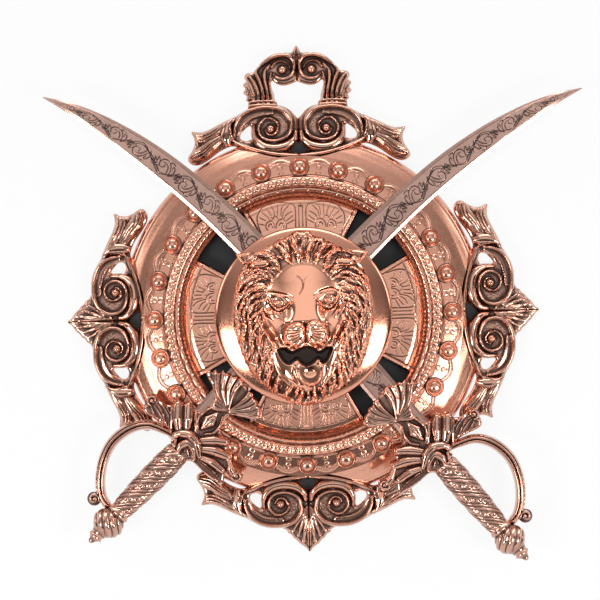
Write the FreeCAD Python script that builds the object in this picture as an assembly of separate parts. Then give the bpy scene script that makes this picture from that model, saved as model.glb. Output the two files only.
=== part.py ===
import FreeCAD, Part
import math
import os

# A dhal shield wall plaque: a copper-plated dish with a lion mask on its boss, two sabres crossed
# behind the boss, four scroll mounts round the rim and a hanging loop. Millimetres. X runs to the
# right, Z up, and the front looks along -Y. The wall plane is Y = 0, so "off" is a height off the
# wall and stands for -Y.

Vector = FreeCAD.Vector
ORIGIN = Vector(0, 0, 0)
OUT_OF_WALL = Vector(0, -1, 0)
UP = Vector(0, 0, 1)

# Fits
FIT = 0.3              # running clearance of a shank in its hole and of curved seats
SINK = 1.2             # how deep a raised form is rooted in the plate that carries it
OVERRUN = 4.0          # how far a cutter passes the skin that it cuts

# Backing disc
BACK_THICK = 3.0

# Dish, a turned shell, its rings counted inwards from the edge
DISH_RADIUS = 182.0
DISH_WALL = 1.4
BACK_INSET = 5.0
BACK_RADIUS = DISH_RADIUS - BACK_INSET
EDGE_OFF = BACK_THICK
BEVEL_WIDE = 4.5
BEVEL_DEEP = 6.0
RIM_SLOPE_WIDE = 22.0
BAND_BREAK_RADIUS = DISH_RADIUS - RIM_SLOPE_WIDE
BAND_BREAK_OFF = 18.0
BAND_WIDE = 20.5
BAND_INNER_RADIUS = BAND_BREAK_RADIUS - BAND_WIDE
BAND_INNER_OFF = 23.0
LINK_RING_WIDE = 10.0
LINK_RING_CREST_OFF = 27.6
LINK_RING_CROWN = 4.0
LEAF_RING_OFF = 25.6
LEAF_RING_WIDE = 5.5
LEAF_RING_INNER_RADIUS = BAND_INNER_RADIUS - LINK_RING_WIDE - LEAF_RING_WIDE
LEAF_TIP_WIDE = 10.0
FIELD_RADIUS = LEAF_RING_INNER_RADIUS - LEAF_TIP_WIDE
FIELD_OFF = 17.0

# Windows on the diagonals of the dish, and the bites at its rim for the scroll mounts
WINDOW_LONG = 49.5
WINDOW_INSET = 2.5
WINDOW_OUTER_RADIUS = LEAF_RING_INNER_RADIUS - WINDOW_INSET
WINDOW_INNER_RADIUS = WINDOW_OUTER_RADIUS - WINDOW_LONG
WINDOW_HALF_ANGLE = 15.5
WINDOW_BEARINGS = [45, 135, 225, 315]
WINDOW_STEPS = 5
LIP_RADIUS = 121.6
LIP_INSET = 0.5
LIP_LOW_RADIUS = BAND_BREAK_RADIUS - LIP_INSET
LIP_HALF_WIDE = 2.4
LIP_HALF_CHORD = 62.0

# Domed studs on the band
STUD_COUNT = 24
STUD_INSET = 9.0
STUD_CIRCLE = BAND_INNER_RADIUS + STUD_INSET
STUD_COLLAR_RADIUS = 9.8
STUD_COLLAR_THICK = 1.3
STUD_DOME_RADIUS = 6.3
STUD_DOME_RISE = 3.4
STUD_CROWN_SHARE = 0.55
COVERED_STUD_BEARINGS = [210, 225, 240, 300, 315, 330]
STUD_SIDES = 8

# Scroll mounts, drawn on a square of this side whose origin is on the dish edge
SCROLL_UNIT = 100.0
MOUNT_PLATE = 4.0
MOUNT_OFF = BACK_THICK
RIM_RISE = 12.0
BELLY_RISE = 13.5
LEAF_RISE = 11.0
LIP_RISE = 14.0
FAN_RISE = 8.5
RIM_HALF_WIDE = 3.0
BELLY_HALF_WIDE = 6.0
LEAF_HALF_WIDE = 5.2
FAN_FLUTE_COUNT = 7
EYE_RADIUS = 4.6

BODY_SHARES = [(0, 0.17), (0.06, 0.25), (0.16, 0.30), (0.32, 0.315), (0.50, 0.28), (0.63, 0.17),
               (0.67, 0.02), (0.62, -0.075), (0.52, -0.11), (0.38, -0.17), (0.22, -0.205),
               (0.08, -0.165), (0, -0.10)]
TAIL_SHARES = [(0.60, 0.20), (0.78, 0.14), (0.95, 0.06), (1.09, 0.035), (1.06, -0.07),
               (1.12, -0.15), (1.06, -0.28), (0.93, -0.235), (0.78, -0.145), (0.60, -0.055)]
GAP_SHARES = [(0.46, -0.04), (0.57, -0.04), (0.585, 0.01), (0.51, 0.08), (0.465, 0.10), (0.44, 0.04)]
RIM_SHARES = [(0.64, 0.01), (0.60, 0.15), (0.48, 0.25), (0.30, 0.28), (0.14, 0.24), (0.07, 0.15),
              (0.06, 0.08), (0.10, 0.0), (0.18, -0.04), (0.27, -0.05), (0.36, -0.01), (0.40, 0.06),
              (0.37, 0.13), (0.30, 0.17), (0.23, 0.14)]
BELLY_SHARES = [(0.015, -0.02), (0.10, -0.11), (0.22, -0.14), (0.34, -0.11), (0.42, -0.05),
                (0.47, 0.02), (0.43, 0.12)]
BELLY_WIDTH_SHARES = [0.35, 0.9, 1.0, 0.95, 0.7, 0.5, 0.25]
EYE_SHARE = (0.285, 0.055)
STRAP_SHARES = [(0.72, 0.16), (0.735, 0.02), (0.72, -0.10)]
STRAP_WIDTH_SHARES = [0.4, 1.15, 0.5]
TAIL_LOBE_SHARES = [[(0.74, 0.11), (0.88, 0.055), (1.00, 0.01), (1.075, 0.0)],
                    [(0.78, 0.01), (0.92, -0.05), (1.04, -0.11), (1.10, -0.14)],
                    [(0.76, -0.08), (0.88, -0.15), (0.98, -0.205), (1.045, -0.245)]]
LOBE_WIDTH_SHARES = [0.75, 1.0, 0.8, 0.5]
FAN_ROOT_SHARE = (0, 0.16)
FAN_CORNER_SHARE = (0.27, 0.305)
FAN_TIP_SHARE = (0, 0.545)

# Hanging loop, on the same square
LOOP_PLATE = 5.0
LOOP_RISE = 10.0
LOOP_HALF_WIDE = 3.4
LOOP_TONGUE_THICK = 2.2
LOOP_OUTER_SHARES = [(0.47, 0.325), (0.465, 0.38), (0.49, 0.46), (0.52, 0.56), (0.485, 0.62),
                     (0.355, 0.665), (0.265, 0.745), (0.17, 0.80), (0.09, 0.815), (0.03, 0.86),
                     (0, 0.90)]
LOOP_INNER_SHARES = [(0, 0.52), (0.09, 0.485), (0.175, 0.495), (0.225, 0.505), (0.25, 0.465),
                     (0.225, 0.39), (0.21, 0.325)]
LOOP_RIB_SHARES = [[(0.415, 0.335), (0.42, 0.44), (0.455, 0.54), (0.485, 0.59)],
                   [(0.345, 0.335), (0.35, 0.45), (0.39, 0.55), (0.40, 0.61)],
                   [(0.27, 0.335), (0.285, 0.44), (0.30, 0.52), (0.27, 0.58)],
                   [(0.36, 0.61), (0.28, 0.69), (0.18, 0.75), (0.09, 0.73), (0.05, 0.65),
                    (0.09, 0.57), (0.17, 0.56), (0.205, 0.61)]]
LOOP_FINIAL_SHARES = [[(0, 0.60), (0, 0.76), (0, 0.885)]]
LOOP_EYE_SHARE = (0.132, 0.645)
TONGUE_SHARES = [(0.25, 0.14), (0.44, 0.14), (0.44, 0.36), (0.25, 0.36)]
LOOP_SCREW_SHARE = (0.345, 0.22)

# Blades, an outline of shares of the blade length and width along and across its chord
BLADE_LENGTH = 527.0
BLADE_WIDE = 31.0
BLADE_THICK = 2.5
BLADE_EDGE_THICK = 1.2
BLADE_BEVEL = 5.0
BLADE_ROOT_SHARE = 0.022
BLADE_BACK_SHARES = [(0.022, 0.55), (0.25, 1.05), (0.48, 1.42), (0.62, 1.49), (0.72, 1.43),
                     (0.81, 1.22), (0.89, 0.88), (0.95, 0.48), (1.0, 0)]
BLADE_BELLY_SHARES = [(0.022, -0.40), (0.25, 0.12), (0.48, 0.42), (0.62, 0.54), (0.72, 0.52),
                      (0.81, 0.42), (0.89, 0.28), (0.95, 0.14), (1.0, 0)]
TANG_RADIUS = 3.0
BLADE_STEPS = 13

# Hilts, drawn along the grip on a square of this side whose origin is the crossing of the guard
HILT_UNIT = 100.0
GUARD_HALF_THICK = 4.5
KNOT_RADIUS = 14.0
KNOT_SHARES = [(-0.16, 0.94), (-0.13, 0.98), (-0.10, 0.84), (-0.04, 1.0), (0.04, 1.0), (0.09, 0.8)]
ARM_SHARES = [(-0.06, 0.06), (-0.05, 0.30), (-0.01, 0.50), (0.06, 0.60), (0.13, 0.57), (0.20, 0.42),
              (0.33, 0.27), (0.24, 0.11), (0.10, 0.04)]
ARM_RIB_SHARES = [[(0.05, 0.10), (0.13, 0.20), (0.24, 0.33)],
                  [(0.09, 0.07), (0.20, 0.16), (0.32, 0.255)],
                  [(-0.02, 0.12), (0.02, 0.30), (0.06, 0.46), (0.09, 0.55)]]
ARM_RIB_RISE = 4.0
ARM_RIB_HALF_WIDE = 4.0
CURL_SHARE = (0.075, 0.56)
CURL_RADIUS = 5.6
LANGET_PLATE = 3.6
LANGET_SHARES = [(0.10, 0.12), (0.26, 0.20), (0.40, 0.12), (0.50, 0.06), (0.50, -0.06),
                 (0.40, -0.12), (0.26, -0.20), (0.10, -0.12)]
LEAF_AT_SHARE = 0.335
LEAF_LONG = 17.0
LEAF_WIDE = 12.0
LEAF_DOME = 4.5
HILT_FAN_ROOT_SHARE = 0.44
HILT_FAN_REACH = 47.0
HILT_FAN_HALF_ANGLE = 40
HILT_FAN_FLUTE_COUNT = 7
HILT_FAN_RISE = 2.6
BOW_SHARES = [(-0.05, 0.13), (-0.08, 0.24), (-0.155, 0.40), (-0.31, 0.505), (-0.52, 0.535),
              (-0.72, 0.475), (-0.89, 0.355), (-0.985, 0.235), (-1.01, 0.165)]
BOW_HALF_WIDE = 5.2
BOW_HALF_THICK = 4.2
BOW_CURL_SHARE = (-1.06, 0.27)
BOW_CURL_RADIUS = 6.0
GRIP_START_SHARE = -0.16
GRIP_END_SHARE = -0.98
GRIP_RADIUS = 13.2
GRIP_END_RADIUS = 10.2
GRIP_RIDGE = 1.7
GRIP_START_COUNT = 6
GRIP_TWIST_ANGLE = 340
GRIP_STEPS = 10
POMMEL_RADIUS = 15.4
POMMEL_STATION_SHARES = [-0.98, -1.005, -1.02, -1.045, -1.09, -1.16, -1.24, -1.30]
POMMEL_RADIUS_SHARES = [0.72, 0.84, 0.72, 0.82, 0.97, 1.0, 0.82, 0.50]
NUT_STATION_SHARES = [-1.30, -1.32, -1.345, -1.40]
NUT_RADIUS_SHARES = [0.40, 0.44, 0.26, 0.12]
TURNED_SIDES = 10

# Where each sword lies: place of its guard by shares of the dish radius, slope of its grip and of its blade
LEFT_GUARD_SHARE = (-0.6484, -0.6703)
LEFT_GUARD_PLACE = tuple(share * DISH_RADIUS for share in LEFT_GUARD_SHARE)
LEFT_GRIP_SLOPE = 44.0
LEFT_BLADE_SLOPE = 40.4
RIGHT_GUARD_SHARE = (0.6978, -0.7692)
RIGHT_GUARD_PLACE = tuple(share * DISH_RADIUS for share in RIGHT_GUARD_SHARE)
RIGHT_GRIP_SLOPE = 50.5
RIGHT_BLADE_SLOPE = 43.8
LEFT_BLADE_OFF = LINK_RING_CREST_OFF + FIT
RIGHT_BLADE_OFF = LEFT_BLADE_OFF + BLADE_THICK

# Boss under the mask
BOSS_RADIUS = 88.5
BOSS_BACK_OFF = RIGHT_BLADE_OFF + BLADE_THICK + FIT
BOSS_RISE = 13.5
BOSS_WALL = 3.0
BOSS_EDGE_RISE = 4.0
BOSS_SHOULDER_RADIUS = 83.0
BOSS_SHOULDER_RISE = 9.5
BOSS_SEAT_RADIUS = 68.0
MASK_OFF = BOSS_BACK_OFF + BOSS_RISE

# Lion mask, drawn on a square of this side about the centre of the boss, heights off its seat
LION_UNIT = 100.0
MASK_DEEP = 46.0
MANE_SHARES = [(0, 0.84), (0.10, 0.82), (0.22, 0.765), (0.36, 0.69), (0.49, 0.61), (0.60, 0.46),
               (0.66, 0.28), (0.685, 0.02), (0.66, -0.18), (0.61, -0.37), (0.52, -0.55),
               (0.40, -0.69), (0.25, -0.79), (0.10, -0.86), (0, -0.88)]
MANE_LEVEL_SHARES = [(-0.12, 0.985), (0.22, 1.0), (0.42, 0.90), (0.54, 0.72)]
LOCK_COUNT = 18
LOCK_HALF_WIDE = 8.0
LOCK_SWEEP_ANGLE = 9
LOCK_REACH_SHARES = [0.58, 0.80, 0.985]
LOCK_CREST_SHARES = [0.68, 0.60, 0.36]
LOCK_WIDTH_SHARES = [0.65, 1.0, 0.35]
FACE_LEVEL_SHARES = [(0.20, 0.44, 0.60, -0.72), (0.40, 0.41, 0.57, -0.69), (0.52, 0.35, 0.52, -0.62),
                     (0.60, 0.27, 0.45, -0.46), (0.65, 0.17, 0.38, -0.20)]
FACE_SIDES = 14
BRIDGE_SHARES = [(0.0, 0.38), (0.0, 0.18), (0.0, 0.02), (0.0, -0.07)]
BRIDGE_HALF_WIDE = 17.0
BRIDGE_WIDTH_SHARES = [0.75, 0.65, 0.8, 0.95]
BRIDGE_CREST_SHARES = [0.65, 0.78, 0.92, 0.93]
PAD_SHARE = (0.125, -0.16)
PAD_RADIUS = 12.5
PAD_LEVEL_SHARES = [(0.40, 1.12), (0.80, 1.05), (0.93, 0.85), (1.0, 0.45)]
CHEEK_SHARE = (0.30, -0.22)
CHEEK_RADIUS = 13.0
CHEEK_LEVEL_SHARES = [(0.30, 1.1), (0.56, 0.95), (0.66, 0.55)]
CHIN_LEVEL_SHARES = [(0.30, 0.20, -0.43, -0.74), (0.60, 0.18, -0.45, -0.72), (0.74, 0.125, -0.47, -0.67)]
CHIN_SHIFT_SHARE = 0.02
CHIN_SIDES = 12
BROW_SHARES = [(0.11, 0.175), (0.22, 0.232), (0.345, 0.20)]
BROW_HALF_WIDE = 3.0
BROW_CREST_SHARE = 0.70
EYE_BALL_SHARE = (0.24, 0.14)
EYE_BALL_RADIUS = 6.2
EYE_LEVEL_SHARES = [(0.50, 1.1), (0.62, 0.95), (0.67, 0.5)]
EAR_SHARES = [(0.30, 0.535), (0.41, 0.57), (0.51, 0.515)]
EAR_HALF_WIDE = 6.0
EAR_WIDTH_SHARES = [0.55, 1.0, 0.55]
EAR_CREST_SHARES = [0.68, 0.74, 0.62]
MOUTH_SHARES = [(-0.21, -0.30), (0.24, -0.30), (0.245, -0.40), (0.17, -0.475), (0.02, -0.50),
                (-0.12, -0.475), (-0.205, -0.41)]
CANINE_SHARES = [[(-0.09, -0.26), (-0.09, -0.36)], [(0.14, -0.26), (0.14, -0.36)],
                 [(-0.08, -0.53), (-0.08, -0.43)], [(0.125, -0.53), (0.125, -0.43)]]
CANINE_HALF_WIDE = 4.0
CANINE_WIDTH_SHARES = [1.0, 0.18]
CANINE_CREST_SHARES = [0.78, 0.70]

# Fasteners
STUD_RADIUS = 4.0
STUD_START_OFF = 6.0
STUD_GRIP = 10.0
NUT_ACROSS_CORNERS = 15.0
NUT_THICK = 6.5
WASHER_RADIUS = 10.0
WASHER_THICK = 1.6
SPACER_RADIUS = 9.0
SCREW_RADIUS = 2.0
SCREW_HEAD_RADIUS = 3.8
SCREW_HEAD_THICK = 2.4
SCREW_GRIP = 7.0
COUNTERSINK_DEEP = 2.0
STANDOFF_RADIUS = 5.0
STANDOFF_INSET = 15.0
STANDOFF_CIRCLE = FIELD_RADIUS - STANDOFF_INSET
STANDOFF_BEARINGS = [0, 90, 180, 270]
MOUNT_SCREW_SHARE = (0.25, -0.08)
MASK_SCREW_SHARE = (0.36, 0.22)
HILT_SCREW_SHARE = (0.17, 0.22)
HILT_POST_RADIUS = 3.6
ROUND_SIDES = 12
MOUND_SIDES = 8
SCREW_SIDES = 6
DISH_SIDES = 44
BOSS_SIDES = 36
FLATNESS = 1e-9


def at(x, z, off):
    """A point by its place on the plaque and its height off the wall."""
    return Vector(x, -off, z)


def closed(points):
    """A closed wire of straight edges."""
    return Part.makePolygon(list(points) + [points[0]])


def flat(corners):
    """Whether four corners lie in one plane."""
    a, b, c, d = corners
    return abs((b - a).cross(c - a).dot(d - a)) < FLATNESS * (c - a).Length ** 2 * (d - b).Length


def loft(rings):
    """A solid of flat faces whose walls run straight from each ring of corners to the next."""
    faces = [Part.Face(closed(rings[0])), Part.Face(closed(rings[-1]))]
    for low, high in zip(rings, rings[1:]):
        for k in range(len(low)):
            after = (k + 1) % len(low)
            corners = [low[k], low[after], high[after], high[k]]
            if flat(corners):
                faces.append(Part.Face(closed(corners)))
            else:
                faces.append(Part.Face(closed(corners[:3])))
                faces.append(Part.Face(closed(corners[2:] + corners[:1])))
    solid = Part.makeSolid(Part.makeShell(faces))
    if solid.Volume < 0:
        solid.reverse()
    return solid


def joined(shapes):
    """One solid made of overlapping ones."""
    return shapes[0].multiFuse(shapes[1:]).removeSplitter()


def slab(face, thick):
    """A flat face given a thickness away from the wall."""
    return face.extrude(OUT_OF_WALL * thick)


def mirrored(points):
    """The same points on the other side of the centre line, listed backwards."""
    return [(-x, z) for x, z in reversed(points)]


def scaled(shares, unit, x_shift=0, z_shift=0):
    """Points of a drawing square at their real size and place."""
    return [(x * unit + x_shift, z * unit + z_shift) for x, z in shares]


def between(values, share):
    """A value read from an evenly spaced list by the share of its length."""
    spot = share * (len(values) - 1)
    low = min(int(spot), len(values) - 2)
    return values[low] + (values[low + 1] - values[low]) * (spot - low)


def evened(points, count):
    """Points spread evenly along a smooth line through the given ones."""
    if len(points) < 3:
        (x0, z0), (x1, z1) = points
        steps = [k / (count - 1) for k in range(count)]
        return [(x0 + (x1 - x0) * s, z0 + (z1 - z0) * s) for s in steps]
    curve = Part.BSplineCurve()
    curve.interpolate([at(x, z, 0) for x, z in points])
    return [(p.x, p.z) for p in curve.discretize(Number=count)]


def normal(points, index):
    """The unit vector across a line at one of its points."""
    x0, z0 = points[max(index - 1, 0)]
    x1, z1 = points[min(index + 1, len(points) - 1)]
    long = math.hypot(x1 - x0, z1 - z0)
    return (-(z1 - z0) / long, (x1 - x0) / long)


def rib(points, halves, floor, crests, count, crown_share=0):
    """A raised rib along a line: a ridge, or with a crown a trapezoid, that changes from end to end."""
    line = evened(points, count)
    sections = []
    for index, (x, z) in enumerate(line):
        share = index / (count - 1)
        half = between(halves, share)
        crest = between(crests, share)
        nx, nz = normal(line, index)
        corners = [(-half, floor), (0, crest), (half, floor)]
        if crown_share:
            corners[1:2] = [(-half * crown_share, crest), (half * crown_share, crest)]
        sections.append([at(x + nx * a, z + nz * a, off) for a, off in corners])
    return loft(sections)


def turned(levels, sides, place, direction, twist=0, starts=0, ridge=0):
    """A turned form with flat sides: rings of the given radius at heights along its axis."""
    rings = []
    for index, (height, radius) in enumerate(levels):
        turn = math.radians(twist * index / (len(levels) - 1))
        corners = []
        for k in range(sides):
            angle = 2 * math.pi * k / sides
            reach = radius + ridge * math.cos(starts * angle)
            corners.append(Vector(reach * math.cos(angle + turn), reach * math.sin(angle + turn), height))
        rings.append(corners)
    solid = loft(rings)
    solid.Placement = FreeCAD.Placement(place, FreeCAD.Rotation(UP, direction))
    return solid


def rod(radius, start, end, x=0, z=0, sides=ROUND_SIDES):
    """A bar square to the wall, between two heights off it."""
    return turned([(start, radius), (end, radius)], sides, at(x, z, 0), OUT_OF_WALL)


def bowl(front, back, sides):
    """A turned shell, from the corners of its front (edge first) and of its back, as (radius, off)."""
    outside = turned([(off, radius) for radius, off in front], sides, ORIGIN, OUT_OF_WALL)
    inside = turned([(off, radius) for radius, off in back], sides, ORIGIN, OUT_OF_WALL)
    return outside.cut(inside)


def oval(x, z, half_wide, half_high, off, sides):
    """A flat oval ring of straight edges."""
    steps = [2 * math.pi * k / sides for k in range(sides)]
    return [at(x + half_wide * math.cos(a), z + half_high * math.sin(a), off) for a in steps]


def mound(place, radius, seat, deep, level_shares, sides):
    """A low round swelling built up of ovals that shrink towards its top."""
    x, z = place
    rings = [oval(x, z, radius * r, radius * r, seat + deep * h, sides) for h, r in level_shares]
    return loft(rings)


def on_bearing(solid, bearing):
    """A form drawn at the top of the shield, turned about its centre to another bearing."""
    copy = solid.copy()
    copy.rotate(ORIGIN, OUT_OF_WALL, bearing - 90)
    return copy


def countersunk_screw(x, z, start, grip_end):
    """A flat-headed screw from the back: its head fills a countersink and its shank goes forward."""
    levels = [(start, SCREW_HEAD_RADIUS), (start + COUNTERSINK_DEEP, SCREW_RADIUS), (grip_end, SCREW_RADIUS)]
    return turned(levels, SCREW_SIDES, at(x, z, 0), OUT_OF_WALL)


def countersunk_hole(x, z, start, end):
    """The hole for such a screw."""
    levels = [(start, SCREW_HEAD_RADIUS + FIT), (start + COUNTERSINK_DEEP, SCREW_RADIUS + FIT),
              (end, SCREW_RADIUS + FIT)]
    return turned(levels, SCREW_SIDES, at(x, z, 0), OUT_OF_WALL)


def bore(x, z, start, end):
    """A tapped bore that a screw fills to within its fit."""
    return rod(SCREW_RADIUS + FIT, start, end + FIT, x, z, SCREW_SIDES)


def mount_screw_places():
    """The two screws of each scroll mount, as (x, z) on the backing disc."""
    places = []
    for bearing in WINDOW_BEARINGS:
        turn = math.radians(bearing - 45)
        for side in (-1, 1):
            x = side * MOUNT_SCREW_SHARE[0] * SCROLL_UNIT
            z = DISH_RADIUS + MOUNT_SCREW_SHARE[1] * SCROLL_UNIT
            places.append((x * math.cos(turn) - z * math.sin(turn), x * math.sin(turn) + z * math.cos(turn)))
    return places


def standoff_places():
    """The places of the four posts that carry the dish."""
    angles = [math.radians(b) for b in STANDOFF_BEARINGS]
    return [(STANDOFF_CIRCLE * math.cos(a), STANDOFF_CIRCLE * math.sin(a)) for a in angles]


def backing_disc():
    """The black disc that closes the back and carries the dish and the scroll mounts."""
    disc = rod(BACK_RADIUS, 0, BACK_THICK, sides=DISH_SIDES)
    holes = [countersunk_hole(x, z, 0, BACK_THICK + OVERRUN) for x, z in mount_screw_places()]
    holes += [countersunk_hole(x, z, 0, BACK_THICK + OVERRUN) for x, z in standoff_places()]
    return disc.cut(holes)


def dish_profile():
    """Front corners of the turned dish, from its edge to its centre, as (radius, off)."""
    crest_radius = BAND_INNER_RADIUS - LINK_RING_WIDE / 2
    return [(DISH_RADIUS, EDGE_OFF),
            (DISH_RADIUS - BEVEL_WIDE, EDGE_OFF + BEVEL_DEEP),
            (BAND_BREAK_RADIUS, BAND_BREAK_OFF),
            (BAND_INNER_RADIUS, BAND_INNER_OFF),
            (crest_radius + LINK_RING_CROWN, LINK_RING_CREST_OFF - DISH_WALL),
            (crest_radius + LINK_RING_CROWN / 2, LINK_RING_CREST_OFF),
            (crest_radius - LINK_RING_CROWN / 2, LINK_RING_CREST_OFF),
            (BAND_INNER_RADIUS - LINK_RING_WIDE, LEAF_RING_OFF),
            (LEAF_RING_INNER_RADIUS, LEAF_RING_OFF - DISH_WALL),
            (FIELD_RADIUS, FIELD_OFF)]


def dish_back():
    """Back corners of the dish, a wall's thickness behind the front ones."""
    return [(DISH_RADIUS - 2 * DISH_WALL, EDGE_OFF - OVERRUN),
            (DISH_RADIUS - 2 * DISH_WALL, EDGE_OFF),
            (DISH_RADIUS - BEVEL_WIDE - DISH_WALL, EDGE_OFF + BEVEL_DEEP - DISH_WALL),
            (BAND_BREAK_RADIUS - DISH_WALL / 2, BAND_BREAK_OFF - DISH_WALL),
            (BAND_INNER_RADIUS, BAND_INNER_OFF - DISH_WALL),
            (LEAF_RING_INNER_RADIUS + DISH_WALL, LEAF_RING_OFF - 3 * DISH_WALL),
            (FIELD_RADIUS + DISH_WALL, FIELD_OFF - DISH_WALL)]


def band_off(radius):
    """Height off the wall of the dish's front at a radius."""
    outline = dish_profile()
    for (out_radius, out_off), (in_radius, in_off) in zip(outline, outline[1:]):
        if in_radius <= radius <= out_radius:
            return out_off + (in_off - out_off) * (out_radius - radius) / (out_radius - in_radius)
    return FIELD_OFF


def filled_dish():
    """The dish as a solid lump, to shape what is seated on its slope."""
    return turned([(off, radius) for radius, off in dish_profile()], DISH_SIDES, ORIGIN, OUT_OF_WALL)


def window_cutter():
    """One window of the dish at the top bearing: a sector between two arcs."""
    half = math.radians(WINDOW_HALF_ANGLE)
    turns = [half * (2 * k / (WINDOW_STEPS - 1) - 1) for k in range(WINDOW_STEPS)]
    outer = [at(WINDOW_OUTER_RADIUS * math.sin(a), WINDOW_OUTER_RADIUS * math.cos(a), 0) for a in turns]
    inner = [at(WINDOW_INNER_RADIUS * math.sin(a), WINDOW_INNER_RADIUS * math.cos(a), 0) for a in turns]
    face = Part.Face(closed(outer + list(reversed(inner))))
    return slab(face, LINK_RING_CREST_OFF + OVERRUN)


def rim_bite():
    """The round bite out of the rim that a scroll mount's lip lies in."""
    centre = LIP_LOW_RADIUS + LIP_RADIUS
    return rod(LIP_RADIUS + LIP_HALF_WIDE + FIT, -OVERRUN, LINK_RING_CREST_OFF + OVERRUN, 0, centre, DISH_SIDES)


def hilt_screw_places():
    """The two screws of each hilt, through its guard's arms, as (x, z, off of the guard's back)."""
    along, across = [share * HILT_UNIT for share in HILT_SCREW_SHARE]
    places = []
    for (x, z), slope, off, mirror in ((LEFT_GUARD_PLACE, LEFT_GRIP_SLOPE, LEFT_BLADE_OFF, 1),
                                       (RIGHT_GUARD_PLACE, RIGHT_GRIP_SLOPE, RIGHT_BLADE_OFF, -1)):
        angle = math.radians(slope)
        for side in (-1, 1):
            run = along * math.cos(angle) - side * across * math.sin(angle)
            rise = along * math.sin(angle) + side * across * math.cos(angle)
            places.append((x + mirror * run, z + rise, off + BLADE_THICK / 2 - GUARD_HALF_THICK))
    return places


def shield_dish():
    """The dish: a turned shell with its stepped rings, then cut by the windows and the bites."""
    shell = bowl(dish_profile(), dish_back(), DISH_SIDES)
    cutters = [on_bearing(window_cutter(), b) for b in WINDOW_BEARINGS]
    cutters += [on_bearing(rim_bite(), b) for b in STANDOFF_BEARINGS]
    cutters.append(rod(STUD_RADIUS + FIT, 0, FIELD_OFF + OVERRUN))
    cutters += [bore(x, z, BACK_THICK, FIELD_OFF + OVERRUN) for x, z in standoff_places()]
    cutters += [bore(x, z, BACK_THICK, off) for x, z, off in hilt_screw_places()]
    return shell.cut(cutters)


def rim_studs():
    """Domed studs in their collars, each square to the slope of the band."""
    slope = math.atan2(BAND_INNER_OFF - BAND_BREAK_OFF, BAND_BREAK_RADIUS - BAND_INNER_RADIUS)
    levels = [(FIT / 2, STUD_COLLAR_RADIUS),
              (STUD_COLLAR_THICK, STUD_DOME_RADIUS),
              (STUD_COLLAR_THICK + STUD_DOME_RISE, STUD_DOME_RADIUS * STUD_CROWN_SHARE)]
    studs = []
    for k in range(STUD_COUNT):
        angle = 2 * math.pi * k / STUD_COUNT
        lean = math.sin(slope)
        axis = Vector(lean * math.cos(angle), -math.cos(slope), lean * math.sin(angle))
        place = at(STUD_CIRCLE * math.cos(angle), STUD_CIRCLE * math.sin(angle), band_off(STUD_CIRCLE))
        studs.append(turned(levels, STUD_SIDES, place, axis))
    return Part.makeCompound(studs)


def covered_studs():
    """The room that each guard leaves at its back for the stud that it covers."""
    rooms = []
    for bearing in COVERED_STUD_BEARINGS:
        angle = math.radians(bearing)
        front = band_off(STUD_CIRCLE) + STUD_COLLAR_THICK + STUD_DOME_RISE
        rooms.append(rod(STUD_DOME_RADIUS + 2 * FIT, BACK_THICK, front + FIT, STUD_CIRCLE * math.cos(angle),
                         STUD_CIRCLE * math.sin(angle), STUD_SIDES))
    return rooms


def scroll_points(shares):
    """Points of the scroll square at their place at the top of the shield."""
    return scaled(shares, SCROLL_UNIT, 0, DISH_RADIUS)


def both_sides(make, shares):
    """The same rib on both sides of a mount's centre line."""
    return [make(scroll_points(shares)), make(scroll_points([(-x, z) for x, z in shares]))]


def even_plate(shares, count, off, thick):
    """A plate with the same smooth edge on both sides of the centre line."""
    right = evened(scroll_points(shares), count)
    outline = right + mirrored(right)[1:-1]
    return slab(Part.Face(closed([at(x, z, off) for x, z in outline])), thick)


def side_plate(shares, side, off, thick):
    """A plate of straight edges on one side of the centre line."""
    points = scroll_points([(side * x, z) for x, z in shares])
    return slab(Part.Face(closed([at(x, z, off) for x, z in points])), thick)


def lip():
    """The bead that lines the bite in the dish rim."""
    centre = LIP_LOW_RADIUS + LIP_RADIUS
    half = math.asin(LIP_HALF_CHORD / LIP_RADIUS)
    steps = [half * share for share in (-1, -0.5, 0, 0.5, 1)]
    arc = [(LIP_RADIUS * math.sin(a), centre - LIP_RADIUS * math.cos(a)) for a in steps]
    return rib(arc, [LIP_HALF_WIDE] * 2, MOUNT_OFF, [MOUNT_OFF + LIP_RISE] * 2, 7, 0.4)


def volute_relief():
    """Rims, bellies, straps and side leaves of a mount, on both sides."""
    root = MOUNT_OFF + MOUNT_PLATE - SINK

    def rim(points):
        return rib(points, [RIM_HALF_WIDE, RIM_HALF_WIDE, RIM_HALF_WIDE * 0.8], root,
                   [MOUNT_OFF + RIM_RISE] * 2, 11)

    def belly(points):
        halves = [BELLY_HALF_WIDE * share for share in BELLY_WIDTH_SHARES]
        return rib(points, halves, root, [MOUNT_OFF + BELLY_RISE] * 2, 6, 0.35)

    def strap(points):
        halves = [LEAF_HALF_WIDE * share for share in STRAP_WIDTH_SHARES]
        return rib(points, halves, root, [MOUNT_OFF + RIM_RISE] * 2, 3)

    def lobe(points):
        halves = [LEAF_HALF_WIDE * share for share in LOBE_WIDTH_SHARES]
        return rib(points, halves, root, [MOUNT_OFF + LEAF_RISE] * 2, 3)

    parts = both_sides(rim, RIM_SHARES) + both_sides(belly, BELLY_SHARES)
    parts += both_sides(strap, STRAP_SHARES)
    for shares in TAIL_LOBE_SHARES:
        parts += both_sides(lobe, shares)
    for side in (-1, 1):
        x, z = scroll_points([(side * EYE_SHARE[0], EYE_SHARE[1])])[0]
        parts.append(mound((x, z), EYE_RADIUS, root, RIM_RISE - MOUNT_PLATE,
                           [(0, 1.0), (1.1, 0.6)], MOUND_SIDES))
    return parts


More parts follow.
